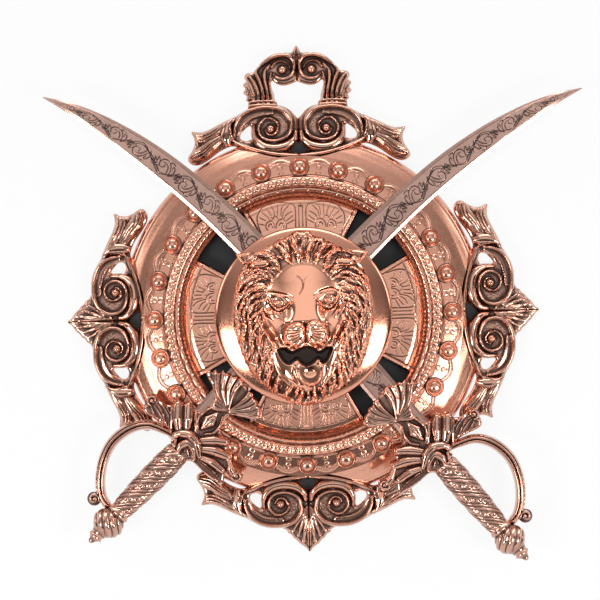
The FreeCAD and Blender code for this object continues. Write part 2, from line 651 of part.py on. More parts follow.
def fan_relief():
    """The square palmette at the outer end of a mount, with its flutes."""
    root = scroll_points([FAN_ROOT_SHARE])[0]
    corner = scroll_points([FAN_CORNER_SHARE])[0]
    tip = scroll_points([FAN_TIP_SHARE])[0]
    outline = [root, corner, tip, (-corner[0], corner[1])]
    parts = [slab(Part.Face(closed([at(x, z, MOUNT_OFF) for x, z in outline])), MOUNT_PLATE)]
    half = (FAN_FLUTE_COUNT - 1) / 2
    edge = math.hypot(corner[0] - tip[0], corner[1] - tip[1])
    for k in range(FAN_FLUTE_COUNT):
        lean = (k - half) / half
        reach = 0.93 * abs(lean)
        end = (corner[0] * reach * math.copysign(1, lean), tip[1] + (corner[1] - tip[1]) * reach)
        wide = edge / FAN_FLUTE_COUNT
        parts.append(rib([root, end], [wide * 0.12, wide * 0.98], MOUNT_OFF + MOUNT_PLATE - SINK,
                         [MOUNT_OFF + FAN_RISE] * 2, 2))
    return parts


def mount_body():
    """The flat body of a mount with the lip, before its relief."""
    body = even_plate(BODY_SHARES, 11, MOUNT_OFF, MOUNT_PLATE)
    tails = [side_plate(TAIL_SHARES, side, MOUNT_OFF, MOUNT_PLATE) for side in (-1, 1)]
    return [body] + tails + [lip()]


def scroll_mount(with_fan, with_loop):
    """A cast mount of two volutes back to back, at the top bearing."""
    parts = mount_body() + volute_relief()
    if with_fan:
        parts += fan_relief()
    solid = joined(parts)
    cutters = [side_plate(GAP_SHARES, side, MOUNT_OFF - OVERRUN, RIM_RISE + 2 * OVERRUN) for side in (-1, 1)]
    for side in (-1, 1):
        x, z = scroll_points([(side * MOUNT_SCREW_SHARE[0], MOUNT_SCREW_SHARE[1])])[0]
        cutters.append(bore(x, z, MOUNT_OFF, MOUNT_OFF + SCREW_GRIP))
        if with_loop:
            x, z = scroll_points([(side * LOOP_SCREW_SHARE[0], LOOP_SCREW_SHARE[1])])[0]
            cutters.append(bore(x, z, MOUNT_OFF, MOUNT_OFF + MOUNT_PLATE / 2))
    return solid.cut(cutters)


def hanging_loop():
    """The pierced loop over the top mount, with a tongue behind each foot for its screw."""
    outer = evened(scroll_points(LOOP_OUTER_SHARES), 15)
    inner = evened(scroll_points(LOOP_INNER_SHARES), 8)
    outline = outer + mirrored(outer)[1:] + mirrored(inner)[:-1] + inner
    parts = [slab(Part.Face(closed([at(x, z, MOUNT_OFF) for x, z in outline])), LOOP_PLATE)]
    root = MOUNT_OFF + LOOP_PLATE - SINK
    crest = [MOUNT_OFF + LOOP_RISE] * 2

    def leg(points):
        return rib(points, [LOOP_HALF_WIDE, LOOP_HALF_WIDE, LOOP_HALF_WIDE * 0.5], root, crest, 5)

    for shares in LOOP_RIB_SHARES:
        parts += both_sides(leg, shares)
    for shares in LOOP_FINIAL_SHARES:
        parts.append(rib(scroll_points(shares), [LOOP_HALF_WIDE, LOOP_HALF_WIDE * 1.4, LOOP_HALF_WIDE * 0.3],
                         root, crest, 4))
    tongue_off = MOUNT_OFF - FIT - LOOP_TONGUE_THICK
    for side in (-1, 1):
        x, z = scroll_points([(side * LOOP_EYE_SHARE[0], LOOP_EYE_SHARE[1])])[0]
        parts.append(mound((x, z), EYE_RADIUS, root, LOOP_RISE - LOOP_PLATE,
                           [(0, 1.0), (1.3, 0.6)], MOUND_SIDES))
        parts.append(side_plate(TONGUE_SHARES, side, tongue_off, LOOP_TONGUE_THICK))
        high = [(x, z) for x, z in TONGUE_SHARES if z > TONGUE_SHARES[0][1]]
        low_z = LOOP_INNER_SHARES[-1][1]
        root_shares = [(high[1][0], low_z), (high[0][0], low_z), high[0], high[1]]
        parts.append(side_plate(root_shares, side, tongue_off, LOOP_TONGUE_THICK + MOUNT_PLATE))
    solid = joined(parts)
    cutters = []
    for side in (-1, 1):
        x, z = scroll_points([(side * LOOP_SCREW_SHARE[0], LOOP_SCREW_SHARE[1])])[0]
        cutters.append(countersunk_hole(x, z, tongue_off, MOUNT_OFF + OVERRUN))
    return solid.cut(cutters)


def placed_sword(shape, guard_place, slope, off, mirror):
    """A form drawn along the X axis about its guard, laid on the plaque."""
    copy = shape.copy()
    copy.rotate(ORIGIN, Vector(0, 1, 0), -slope)
    if mirror:
        copy = copy.mirror(ORIGIN, Vector(1, 0, 0))
    copy.translate(at(guard_place[0], guard_place[1], off))
    return copy


def blade_points(inset):
    """Back and belly edges of the blade, drawn in by an inset, from root to point."""
    back = [(s * BLADE_LENGTH, c * BLADE_WIDE - inset) for s, c in BLADE_BACK_SHARES[:-1]]
    belly = [(s * BLADE_LENGTH, c * BLADE_WIDE + inset) for s, c in BLADE_BELLY_SHARES[:-1]]
    point = (BLADE_LENGTH - 3 * inset, inset)
    return back + [point], belly + [point]


def blade_outline(inset, off):
    """The closed outline of the blade at a height off its back."""
    back, belly = [evened(points, BLADE_STEPS) for points in blade_points(inset)]
    return [at(x, z, off) for x, z in back[:-1] + list(reversed(belly))]


def blade_blank(grow):
    """The blade's full outline as a plain plate, for the slot in its guard."""
    return loft([blade_outline(-grow, -grow), blade_outline(-grow, BLADE_THICK + grow)])


def blade(grip_turn):
    """A sabre blade with a bevel along both edges, and its tang, which follows the grip."""
    steel = loft([blade_outline(0, 0), blade_outline(0, BLADE_EDGE_THICK),
                  blade_outline(BLADE_BEVEL, BLADE_THICK)])
    mid = BLADE_THICK / 2
    start = HILT_UNIT * NUT_STATION_SHARES[1]
    tang = turned([(start, TANG_RADIUS), (BLADE_ROOT_SHARE * BLADE_LENGTH * 2, TANG_RADIUS)], 6,
                  at(0, 0, mid), Vector(1, 0, 0))
    tang.rotate(ORIGIN, Vector(0, 1, 0), -grip_turn)
    return joined([steel, tang])


def hilt_points(shares, side=1):
    """Points of the hilt square at their real size."""
    return [(s * HILT_UNIT, side * u * HILT_UNIT) for s, u in shares]


def tang_hole():
    """The hole through the hilt for the tang."""
    start = HILT_UNIT * NUT_STATION_SHARES[1]
    return turned([(start, TANG_RADIUS + FIT), (HILT_UNIT, TANG_RADIUS + FIT)], 6,
                  at(0, 0, BLADE_THICK / 2), Vector(1, 0, 0))


def guard_arm(side):
    """One arm of the cross guard: a flared plate with fluted lobes and a curled tip."""
    mid = BLADE_THICK / 2
    points = hilt_points(ARM_SHARES, side)
    face = Part.Face(closed([at(x, z, mid - GUARD_HALF_THICK) for x, z in points]))
    parts = [slab(face, 2 * GUARD_HALF_THICK)]
    root = mid + GUARD_HALF_THICK - SINK
    for shares in ARM_RIB_SHARES:
        parts.append(rib(hilt_points(shares, side), [ARM_RIB_HALF_WIDE * 0.7, ARM_RIB_HALF_WIDE], root,
                         [root + SINK + ARM_RIB_RISE] * 2, 3))
    x, z = hilt_points([CURL_SHARE], side)[0]
    start = mid - GUARD_HALF_THICK
    parts.append(turned([(start, CURL_RADIUS), (mid + GUARD_HALF_THICK + ARM_RIB_RISE, CURL_RADIUS)],
                        MOUND_SIDES, at(x, z, 0), OUT_OF_WALL))
    return parts


def guard_fan(front):
    """The shell-shaped fan over the root of the blade."""
    root_x = HILT_FAN_ROOT_SHARE * HILT_UNIT
    wide = 2 * HILT_FAN_REACH * math.tan(math.radians(HILT_FAN_HALF_ANGLE / (HILT_FAN_FLUTE_COUNT - 1)))
    tips = []
    for k in range(HILT_FAN_FLUTE_COUNT):
        angle = math.radians(HILT_FAN_HALF_ANGLE * (2 * k / (HILT_FAN_FLUTE_COUNT - 1) - 1))
        tips.append((root_x + HILT_FAN_REACH * math.cos(angle), HILT_FAN_REACH * math.sin(angle)))
    outline = [(root_x, -KNOT_RADIUS / 2)] + tips + [(root_x, KNOT_RADIUS / 2)]
    parts = [slab(Part.Face(closed([at(x, z, front) for x, z in outline])), LANGET_PLATE)]
    for tip in tips:
        parts.append(rib([(root_x, 0), tip], [wide * 0.1, wide * 0.5], front + LANGET_PLATE - SINK,
                         [front + LANGET_PLATE + HILT_FAN_RISE] * 2, 2))
    return parts


def guard(blade_turn):
    """The cast guard: knot, two arms, langet with its almond boss, and the fan."""
    mid = BLADE_THICK / 2
    front = BLADE_THICK + FIT
    knot = turned([(s * HILT_UNIT, r * KNOT_RADIUS) for s, r in KNOT_SHARES], TURNED_SIDES,
                  at(0, 0, mid), Vector(1, 0, 0))
    langet = slab(Part.Face(closed([at(x, z, front) for x, z in hilt_points(LANGET_SHARES)])), LANGET_PLATE)
    leaf_x = LEAF_AT_SHARE * HILT_UNIT
    leaf = loft([oval(leaf_x, 0, LEAF_LONG / 2, LEAF_WIDE / 2, front + LANGET_PLATE - SINK, MOUND_SIDES),
                 oval(leaf_x, 0, LEAF_LONG / 4, LEAF_WIDE / 6, front + LANGET_PLATE + LEAF_DOME, MOUND_SIDES)])
    parts = [knot] + guard_arm(1) + guard_arm(-1) + [langet, leaf] + guard_fan(front)
    solid = joined(parts)
    slot = blade_blank(FIT)
    slot.rotate(ORIGIN, Vector(0, 1, 0), -blade_turn)
    along, across = [share * HILT_UNIT for share in HILT_SCREW_SHARE]
    back = mid - GUARD_HALF_THICK
    screws = [bore(along, side * across, back - OVERRUN, back + SCREW_GRIP) for side in (-1, 1)]
    return solid.cut([slot, tang_hole()] + screws)


def knuckle_bow(carrier):
    """The bow from guard to pommel: a grooved band with a curled end, cut to seat on both."""
    mid = BLADE_THICK / 2
    points = hilt_points(BOW_SHARES)
    low, high = mid - BOW_HALF_THICK, mid + BOW_HALF_THICK
    band = rib(points, [BOW_HALF_WIDE, BOW_HALF_WIDE, BOW_HALF_WIDE * 0.8], low, [high] * 2, 11, 0.55)
    x, z = hilt_points([BOW_CURL_SHARE])[0]
    curl = turned([(low, BOW_CURL_RADIUS), (high, BOW_CURL_RADIUS)], MOUND_SIDES, at(x, z, 0), OUT_OF_WALL)
    neck = rib([hilt_points([BOW_SHARES[-2]])[0], (x, z)], [BOW_HALF_WIDE * 0.8] * 2, low, [high] * 2, 2)
    return joined([band, curl, neck]).cut([carrier, turned_along(POMMEL_STATION_SHARES, POMMEL_RADIUS_SHARES)])


def grip():
    """The grip: a lobed section twisted along its length, so its ridges wind round it."""
    start, end = GRIP_START_SHARE * HILT_UNIT, GRIP_END_SHARE * HILT_UNIT
    levels = []
    for k in range(GRIP_STEPS + 1):
        share = k / GRIP_STEPS
        swell = math.sin(math.pi * min(share * 1.15 + 0.1, 1))
        radius = GRIP_END_RADIUS + (GRIP_RADIUS - GRIP_END_RADIUS) * swell
        levels.append((end + (start - end) * (1 - share), radius))
    levels.reverse()
    solid = turned(levels, 2 * GRIP_START_COUNT, at(0, 0, BLADE_THICK / 2), Vector(1, 0, 0),
                   GRIP_TWIST_ANGLE, GRIP_START_COUNT, GRIP_RIDGE)
    return solid.cut(tang_hole())


def turned_along(station_shares, radius_shares, twist=0):
    """A turned form on the grip's axis from stations and radii."""
    pairs = list(zip(station_shares, radius_shares))
    levels = [(s * HILT_UNIT, r * POMMEL_RADIUS) for s, r in reversed(pairs)]
    return turned(levels, TURNED_SIDES, at(0, 0, BLADE_THICK / 2), Vector(1, 0, 0), twist)


def pommel():
    """The pommel: collars and a ball."""
    return turned_along(POMMEL_STATION_SHARES, POMMEL_RADIUS_SHARES).cut(tang_hole())


def pommel_nut():
    """The tapered nut that ends the tang."""
    return turned_along(NUT_STATION_SHARES, NUT_RADIUS_SHARES).cut(tang_hole())


def sword(name, guard_place, grip_slope, blade_slope, off, mirror):
    """All pieces of one sabre, in place."""
    turn = blade_slope - grip_slope
    cast_guard = guard(turn)
    pieces = {"blade": (blade(-turn), blade_slope),
              "guard": (cast_guard, grip_slope),
              "knuckle_bow": (knuckle_bow(cast_guard), grip_slope),
              "grip": (grip(), grip_slope),
              "pommel": (pommel(), grip_slope),
              "pommel_nut": (pommel_nut(), grip_slope)}
    return {name + "_" + key: placed_sword(shape, guard_place, slope, off, mirror)
            for key, (shape, slope) in pieces.items()}


def boss_profile():
    """Front corners of the boss, from its edge to its seat, as (radius, off)."""
    back = BOSS_BACK_OFF
    return [(BOSS_RADIUS, back), (BOSS_RADIUS, back + BOSS_EDGE_RISE),
            (BOSS_SHOULDER_RADIUS, back + BOSS_SHOULDER_RISE), (BOSS_SEAT_RADIUS, back + BOSS_RISE)]


def filled_boss():
    """The boss as a solid lump, to shape the mask that is seated on it."""
    return turned([(off, radius) for radius, off in boss_profile()], BOSS_SIDES, ORIGIN, OUT_OF_WALL)


def lion_boss():
    """The domed plate under the mask: a turned shell over the crossed blades."""
    back = BOSS_BACK_OFF
    inside = [(BOSS_RADIUS - BOSS_WALL, back - OVERRUN), (BOSS_RADIUS - BOSS_WALL, back + BOSS_EDGE_RISE),
              (BOSS_SEAT_RADIUS - BOSS_WALL, back + BOSS_RISE - BOSS_WALL)]
    shell = bowl(boss_profile(), inside, BOSS_SIDES)
    cutters = [rod(STUD_RADIUS + FIT, back, back + BOSS_RISE + OVERRUN)]
    for x, z in mask_screw_places():
        cutters.append(rod(SCREW_RADIUS + FIT, back, back + BOSS_RISE + OVERRUN, x, z))
    return shell.cut(cutters)


def mask_screw_places():
    """The two screws that hold the mask to the boss."""
    x, z = MASK_SCREW_SHARE
    return [(side * x * LION_UNIT, z * LION_UNIT) for side in (-1, 1)]


def mask_height(share):
    """A height off the wall by its share of the mask's depth."""
    return MASK_OFF + share * MASK_DEEP


def mane_outline():
    """The mane's outline, clockwise from the top tuft, both sides."""
    right = scaled(MANE_SHARES, LION_UNIT)
    return right + mirrored(right[1:-1])


def mane_base():
    """The body of the mask under the locks."""
    outline = mane_outline()
    return loft([[at(x * s, z * s, mask_height(h)) for x, z in outline] for h, s in MANE_LEVEL_SHARES])


def mane_reach(bearing):
    """How far the mane reaches from the centre at a bearing."""
    outline = mane_outline()
    best = min(outline, key=lambda p: abs((math.degrees(math.atan2(p[1], p[0])) - bearing + 180) % 360 - 180))
    return math.hypot(*best)


def mane_locks():
    """Curved locks round the mask, each sweeping down to the mane's edge."""
    halves = [LOCK_HALF_WIDE * share for share in LOCK_WIDTH_SHARES]
    crests = [mask_height(share) for share in LOCK_CREST_SHARES]
    locks = []
    for k in range(LOCK_COUNT):
        bearing = 360 * (k + 0.5) / LOCK_COUNT - 90
        side = 1 if math.cos(math.radians(bearing)) > 0 else -1
        points = []
        for index, share in enumerate(LOCK_REACH_SHARES):
            sweep = side * LOCK_SWEEP_ANGLE * (1 - index)
            angle = math.radians(bearing + sweep)
            reach = mane_reach(bearing + sweep) * share
            points.append((reach * math.cos(angle), reach * math.sin(angle)))
        locks.append(rib(points, halves, mask_height(0), crests, 3))
    return locks


def oval_levels(level_shares, sides, shift):
    """A swelling of ovals, each with its own height, half width, top and bottom."""
    rings = []
    for height, half, top, bottom in level_shares:
        middle = (top + bottom) / 2 * LION_UNIT
        rings.append(oval(shift, middle, half * LION_UNIT, (top - bottom) / 2 * LION_UNIT,
                          mask_height(height), sides))
    return loft(rings)


def lion_features():
    """Brows, eyes, ears, muzzle pads and cheeks, in pairs."""
    parts = []
    floor = mask_height(FACE_LEVEL_SHARES[1][0])
    for side in (-1, 1):
        brow = [(side * x * LION_UNIT, z * LION_UNIT) for x, z in BROW_SHARES]
        parts.append(rib(brow, [BROW_HALF_WIDE * 0.6, BROW_HALF_WIDE, BROW_HALF_WIDE * 0.5], floor,
                         [mask_height(BROW_CREST_SHARE)] * 2, 4))
        ear = [(side * x * LION_UNIT, z * LION_UNIT) for x, z in EAR_SHARES]
        parts.append(rib(ear, [EAR_HALF_WIDE * share for share in EAR_WIDTH_SHARES], mask_height(0),
                         [mask_height(share) for share in EAR_CREST_SHARES], 3))
        for share, radius, levels in ((PAD_SHARE, PAD_RADIUS, PAD_LEVEL_SHARES),
                                      (CHEEK_SHARE, CHEEK_RADIUS, CHEEK_LEVEL_SHARES),
                                      (EYE_BALL_SHARE, EYE_BALL_RADIUS, EYE_LEVEL_SHARES)):
            place = (side * share[0] * LION_UNIT, share[1] * LION_UNIT)
            parts.append(mound(place, radius, MASK_OFF, MASK_DEEP, levels, MOUND_SIDES))
    return parts


def canines():
    """The four canines, rooted in the jaws and standing in the open mouth."""
    teeth = []
    for shares in CANINE_SHARES:
        points = scaled(shares, LION_UNIT)
        teeth.append(rib(points, [CANINE_HALF_WIDE * share for share in CANINE_WIDTH_SHARES],
                         mask_height(FACE_LEVEL_SHARES[1][0]),
                         [mask_height(share) for share in CANINE_CREST_SHARES], 2, 0.4))
    return teeth


def lion_mask():
    """The cast lion mask: mane, face, muzzle and open mouth."""
    face = oval_levels(FACE_LEVEL_SHARES, FACE_SIDES, 0)
    chin = oval_levels(CHIN_LEVEL_SHARES, CHIN_SIDES, CHIN_SHIFT_SHARE * LION_UNIT)
    bridge = rib(scaled(BRIDGE_SHARES, LION_UNIT), [BRIDGE_HALF_WIDE * s for s in BRIDGE_WIDTH_SHARES],
                 mask_height(FACE_LEVEL_SHARES[1][0]), [mask_height(s) for s in BRIDGE_CREST_SHARES], 7, 0.6)
    solid = joined([mane_base(), face, chin, bridge] + lion_features() + mane_locks())
    mouth = slab(Part.Face(closed([at(x, z, MASK_OFF - OVERRUN) for x, z in scaled(MOUTH_SHARES, LION_UNIT)])),
                 MASK_DEEP + 2 * OVERRUN)
    solid = solid.cut(mouth)
    solid = joined([solid] + canines())
    cutters = [filled_boss(), rod(STUD_RADIUS + FIT, MASK_OFF - OVERRUN, MASK_OFF + STUD_GRIP)]
    cutters += [bore(x, z, MASK_OFF - OVERRUN, MASK_OFF + SCREW_GRIP) for x, z in mask_screw_places()]
    return solid.cut(cutters)


def sleeve(radius, hole, start, end, x=0, z=0):
    """A spacing sleeve between two heights off the wall."""
    return rod(radius, start, end, x, z, MOUND_SIDES).cut(rod(hole + FIT, start, end, x, z, MOUND_SIDES))


def washer(start):
    """A plain washer on the centre stud."""
    return sleeve(WASHER_RADIUS, STUD_RADIUS, start, start + WASHER_THICK)


def hex_nut(start):
    """The nut that draws the mask, boss and blades to the dish."""
    return turned([(start, NUT_ACROSS_CORNERS / 2), (start + NUT_THICK, NUT_ACROSS_CORNERS / 2)], 6,
                  ORIGIN, OUT_OF_WALL).cut(rod(STUD_RADIUS + FIT, start, start + NUT_THICK))


def pan_screw(x, z, head_off, end):
    """A cheese-headed screw that goes forward from its head."""
    levels = [(head_off - SCREW_HEAD_THICK, SCREW_HEAD_RADIUS), (head_off, SCREW_HEAD_RADIUS),
              (head_off, SCREW_RADIUS), (end, SCREW_RADIUS)]
    return turned(levels, SCREW_SIDES, at(x, z, 0), OUT_OF_WALL)


def hilt_posts():
    """Short posts between the slope of the band and the back of each guard arm."""
    posts = [rod(HILT_POST_RADIUS, BACK_THICK, off, x, z, SCREW_SIDES) for x, z, off in hilt_screw_places()]
    holes = [bore(x, z, BACK_THICK, off) for x, z, off in hilt_screw_places()]
    lump = filled_dish()
    return Part.makeCompound([post.cut([lump, hole]) for post, hole in zip(posts, holes)])


def hilt_screws():
    """Screws from inside the dish into the guard arms, each head seated under the slope's low side."""
    screws = []
    for x, z, off in hilt_screw_places():
        seat = band_off(math.hypot(x, z) + SCREW_HEAD_RADIUS) - DISH_WALL
        screws.append(pan_screw(x, z, seat, off + SCREW_GRIP - FIT))
    return Part.makeCompound(screws)


def fasteners():
    """Everything that holds the plaque together, by node."""
    dish_back_off = FIELD_OFF - DISH_WALL
    washer_off = dish_back_off - WASHER_THICK
    boss_inside = BOSS_BACK_OFF + BOSS_RISE - BOSS_WALL
    return {
        "centre_stud": rod(STUD_RADIUS, STUD_START_OFF, MASK_OFF + STUD_GRIP - FIT),
        "centre_washer": washer(washer_off),
        "centre_nut": hex_nut(washer_off - NUT_THICK),
        "blade_spacer": sleeve(SPACER_RADIUS, STUD_RADIUS, FIELD_OFF, LEFT_BLADE_OFF),
        "boss_spacer": sleeve(SPACER_RADIUS, STUD_RADIUS, RIGHT_BLADE_OFF + BLADE_THICK, boss_inside),
        "mask_screws": Part.makeCompound([pan_screw(x, z, boss_inside, MASK_OFF + SCREW_GRIP - FIT)
                                          for x, z in mask_screw_places()]),
        "dish_standoffs": Part.makeCompound([sleeve(STANDOFF_RADIUS, SCREW_RADIUS, BACK_THICK, dish_back_off, x, z)
                                             for x, z in standoff_places()]),
        "backing_screws": Part.makeCompound([countersunk_screw(x, z, 0, FIELD_OFF)
                                             for x, z in standoff_places()]),
        "mount_screws": Part.makeCompound([countersunk_screw(x, z, 0, BACK_THICK + SCREW_GRIP - FIT)
                                           for x, z in mount_screw_places()]),
        "hilt_posts": hilt_posts(),
        "hilt_screws": hilt_screws(),
        "loop_screws": Part.makeCompound([countersunk_screw(side * LOOP_SCREW_SHARE[0] * SCROLL_UNIT,
                                                            DISH_RADIUS + LOOP_SCREW_SHARE[1] * SCROLL_UNIT,
                                                            MOUNT_OFF - FIT - LOOP_TONGUE_THICK,
                                                            MOUNT_OFF + MOUNT_PLATE / 2)
                                          for side in (-1, 1)]),
    }


def build():
    """Every node of the plaque by name."""
    nodes = {"backing_disc": backing_disc(),
             "shield_dish": shield_dish(),
             "rim_studs": rim_studs()}
    fanned = scroll_mount(True, False)
    nodes["scroll_mount_top"] = scroll_mount(False, True)
    nodes["scroll_mount_left"] = on_bearing(fanned, 180)
    nodes["scroll_mount_bottom"] = on_bearing(fanned, 270)
    nodes["scroll_mount_right"] = on_bearing(fanned, 0)
    nodes["hanging_loop"] = hanging_loop()
    nodes["lion_boss"] = lion_boss()
    nodes["lion_mask"] = lion_mask()
    nodes.update(sword("left_sword", LEFT_GUARD_PLACE, LEFT_GRIP_SLOPE, LEFT_BLADE_SLOPE, LEFT_BLADE_OFF, False))
    nodes.update(sword("right_sword", RIGHT_GUARD_PLACE, RIGHT_GRIP_SLOPE, RIGHT_BLADE_SLOPE,
                       RIGHT_BLADE_OFF, True))
    stud_hole = rod(STUD_RADIUS + FIT, FIELD_OFF, MASK_OFF)
    for name in ("left_sword", "right_sword"):
        nodes[name + "_blade"] = nodes[name + "_blade"].cut(stud_hole)
        nodes[name + "_guard"] = nodes[name + "_guard"].cut(covered_studs())
    nodes.update(fasteners())
    return nodes


os.makedirs("parts", exist_ok=True)
for node, shape in build().items():
    shape.exportStep("parts/" + node + ".step")
    print(node, len(shape.Solids), "solid", len(shape.Faces), "faces", round(shape.Volume), "mm3",
          "valid" if shape.isValid() else "NOT VALID")
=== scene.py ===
# %% [markdown]
# # A dhal shield for the wall, in antiqued copper
# The object is a cast and plated wall shield: a round dish with a stepped rim, a lion mask on a boss,
# two sabres crossed behind it and four scroll mounts. The solid model gives the true size and place of
# each piece. This lesson dresses it: most pieces are low reliefs, so most are made as height maps.

# %%
# The frame
import bpy
import bmesh
import math
import numpy as np
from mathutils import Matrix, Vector


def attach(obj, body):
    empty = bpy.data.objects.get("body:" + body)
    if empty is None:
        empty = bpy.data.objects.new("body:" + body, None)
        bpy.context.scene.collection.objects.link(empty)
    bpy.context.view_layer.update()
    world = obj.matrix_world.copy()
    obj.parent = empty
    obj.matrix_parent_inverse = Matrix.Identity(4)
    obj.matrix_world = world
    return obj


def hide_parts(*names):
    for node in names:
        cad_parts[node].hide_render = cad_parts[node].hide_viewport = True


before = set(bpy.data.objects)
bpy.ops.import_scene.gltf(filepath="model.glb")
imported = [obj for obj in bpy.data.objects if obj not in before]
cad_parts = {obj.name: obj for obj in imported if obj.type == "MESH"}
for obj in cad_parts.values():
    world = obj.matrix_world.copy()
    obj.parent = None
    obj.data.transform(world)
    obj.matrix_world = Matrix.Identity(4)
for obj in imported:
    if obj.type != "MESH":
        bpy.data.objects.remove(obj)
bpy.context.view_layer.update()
MM = 0.001

# %% [markdown]
# ## Camera and stage
# The shield was photographed square on, hung a little askew. The camera stands far off with a long lens,
# and it is rolled instead of the shield. The stage is a white wall that can be seen from the front only,
# so that a view from behind isn't blocked, and a pale floor.

# %%
# Camera
VIEW_WIDTH = 592.8 * MM
VIEW_CENTRE = (-3.0 * MM, 15.9 * MM)
VIEW_DEPTH = -45 * MM
CAMERA_FAR = 2.6
HUNG_ASKEW = math.radians(1.55)

camera_data = bpy.data.cameras.new("camera")
camera = bpy.data.objects.new("camera", camera_data)
bpy.context.scene.collection.objects.link(camera)
camera.location = (VIEW_CENTRE[0], VIEW_DEPTH - CAMERA_FAR, VIEW_CENTRE[1])
camera.rotation_euler = (math.radians(90), HUNG_ASKEW, 0)
camera_data.sensor_width = 36
camera_data.lens = camera_data.sensor_width * CAMERA_FAR / VIEW_WIDTH
camera_data.clip_end = 20
bpy.context.scene.camera = camera
bpy.context.scene.view_settings.view_transform = "Standard"


# %%
# Nodes in short
PAPER = (0.98, 0.98, 0.98, 1)


def new_material(name):
    """An empty node material and its tree."""
    material = bpy.data.materials.new(name)
    material.use_nodes = True
    material.node_tree.nodes.clear()
    return material, material.node_tree


def build(tree, kind, **values):
    """A node with its inputs filled: a socket is linked, and anything else is set as a constant."""
    node = tree.nodes.new(kind)
    for label, value in values.items():
        socket = node.inputs[label.replace("_", " ")]
        if isinstance(value, bpy.types.NodeSocket):
            tree.links.new(value, socket)
        else:
            socket.default_value = value
    return node


def maths(tree, operation, a, b=None, clamp=False):
    """A maths node between sockets or numbers; gives its result."""
    node = tree.nodes.new("ShaderNodeMath")
    node.operation = operation
    node.use_clamp = clamp
    for socket, value in zip(node.inputs, (a, b)):
        if isinstance(value, (int, float)):
            socket.default_value = value
        elif value is not None:
            tree.links.new(value, socket)
    return node.outputs[0]


def remap(tree, value, low, high, to_low=0.0, to_high=1.0, bend="LINEAR"):
    """Stretches a value from one range to another, without passing its ends."""
    node = build(tree, "ShaderNodeMapRange", Value=value, From_Min=low, From_Max=high, To_Min=to_low,
        To_Max=to_high)
    node.interpolation_type = bend
    return node.outputs[0]


def blend(tree, share, a, b):
    """Mixes two colours by a share."""
    node = tree.nodes.new("ShaderNodeMix")
    node.data_type = "RGBA"
    tree.links.new(share, node.inputs["Factor"])
    for socket, value in ((node.inputs[6], a), (node.inputs[7], b)):
        if isinstance(value, tuple):
            socket.default_value = value
        else:
            tree.links.new(value, socket)
    return node.outputs[2]


def mix_shaders(tree, share, first, second):
    """Mixes two shaders by a share."""
    node = tree.nodes.new("ShaderNodeMixShader")
    for socket, value in zip(node.inputs, (share, first, second)):
        tree.links.new(value, socket)
    return node.outputs[0]


# %%
# Wall and floor
def stage_material(name, shade, shadow_share, one_sided):
    """White to the camera and to mirrors, with a little of the true shadow."""
    material, tree = new_material(name)
    path = tree.nodes.new("ShaderNodeLightPath").outputs
    seen = maths(tree, "MAXIMUM", path["Is Camera Ray"], path["Is Glossy Ray"])
    seen = maths(tree, "MAXIMUM", seen, path["Is Transmission Ray"])
    paint = build(tree, "ShaderNodeBsdfDiffuse", Color=(shade, shade, shade, 1)).outputs[0]
    glow = build(tree, "ShaderNodeEmission", Color=PAPER).outputs[0]
    surface = mix_shaders(tree, maths(tree, "MULTIPLY", seen, 1 - shadow_share), paint, glow)
    if one_sided:
        clear = tree.nodes.new("ShaderNodeBsdfTransparent").outputs[0]
        facing = tree.nodes.new("ShaderNodeNewGeometry").outputs["Backfacing"]
        surface = mix_shaders(tree, facing, surface, clear)
    build(tree, "ShaderNodeOutputMaterial", Surface=surface)
    return material


def stage_plane(name, corners, material):
    """A flat sheet of the stage."""
    mesh = bpy.data.meshes.new(name)
    mesh.from_pydata(corners, [], [(0, 1, 2, 3)])
    sheet = bpy.data.objects.new(name, mesh)
    bpy.context.scene.collection.objects.link(sheet)
    mesh.materials.append(material)
    return sheet


WALL_REACH = 3.0
WALL_GAP = 1.0 * MM
FLOOR_DROP = -0.62
FLOOR_REACH = 0.55
wall_material = stage_material("white_wall", 0.85, 0.10, True)
floor_material = stage_material("white_floor", 0.85, 0.15, True)
stage_plane("wall", [(-WALL_REACH, WALL_GAP, FLOOR_DROP), (WALL_REACH, WALL_GAP, FLOOR_DROP),
    (WALL_REACH, WALL_GAP, WALL_REACH), (-WALL_REACH, WALL_GAP, WALL_REACH)], wall_material)
stage_plane("floor", [(-WALL_REACH, -FLOOR_REACH, FLOOR_DROP), (WALL_REACH, -FLOOR_REACH, FLOOR_DROP),
    (WALL_REACH, WALL_REACH, FLOOR_DROP), (-WALL_REACH, WALL_REACH, FLOOR_DROP)], floor_material)


# %% [markdown]
# ## Light
# Polished metal shows the room, so the room is what makes copper look like copper. The photographer's side
# is bright, so faces that look straight out are a pale salmon. To the left and right the room falls off to
# brown, and two lamps below on either side put white streaks on the slopes of the dish and the boss.

# %%
# World and lamps
ROOM_SHADES = [(0.0, (0.34, 0.33, 0.32, 1)), (0.55, (0.12, 0.11, 0.10, 1)), (0.78, (0.26, 0.24, 0.23, 1)),
    (0.97, (1.12, 1.12, 1.12, 1))]
OVERHEAD = (1.0, 1.0, 1.02, 1)
BELOW_RISE, BELOW_LIGHT = (-0.09, 0.035), (0.15, 1.0)


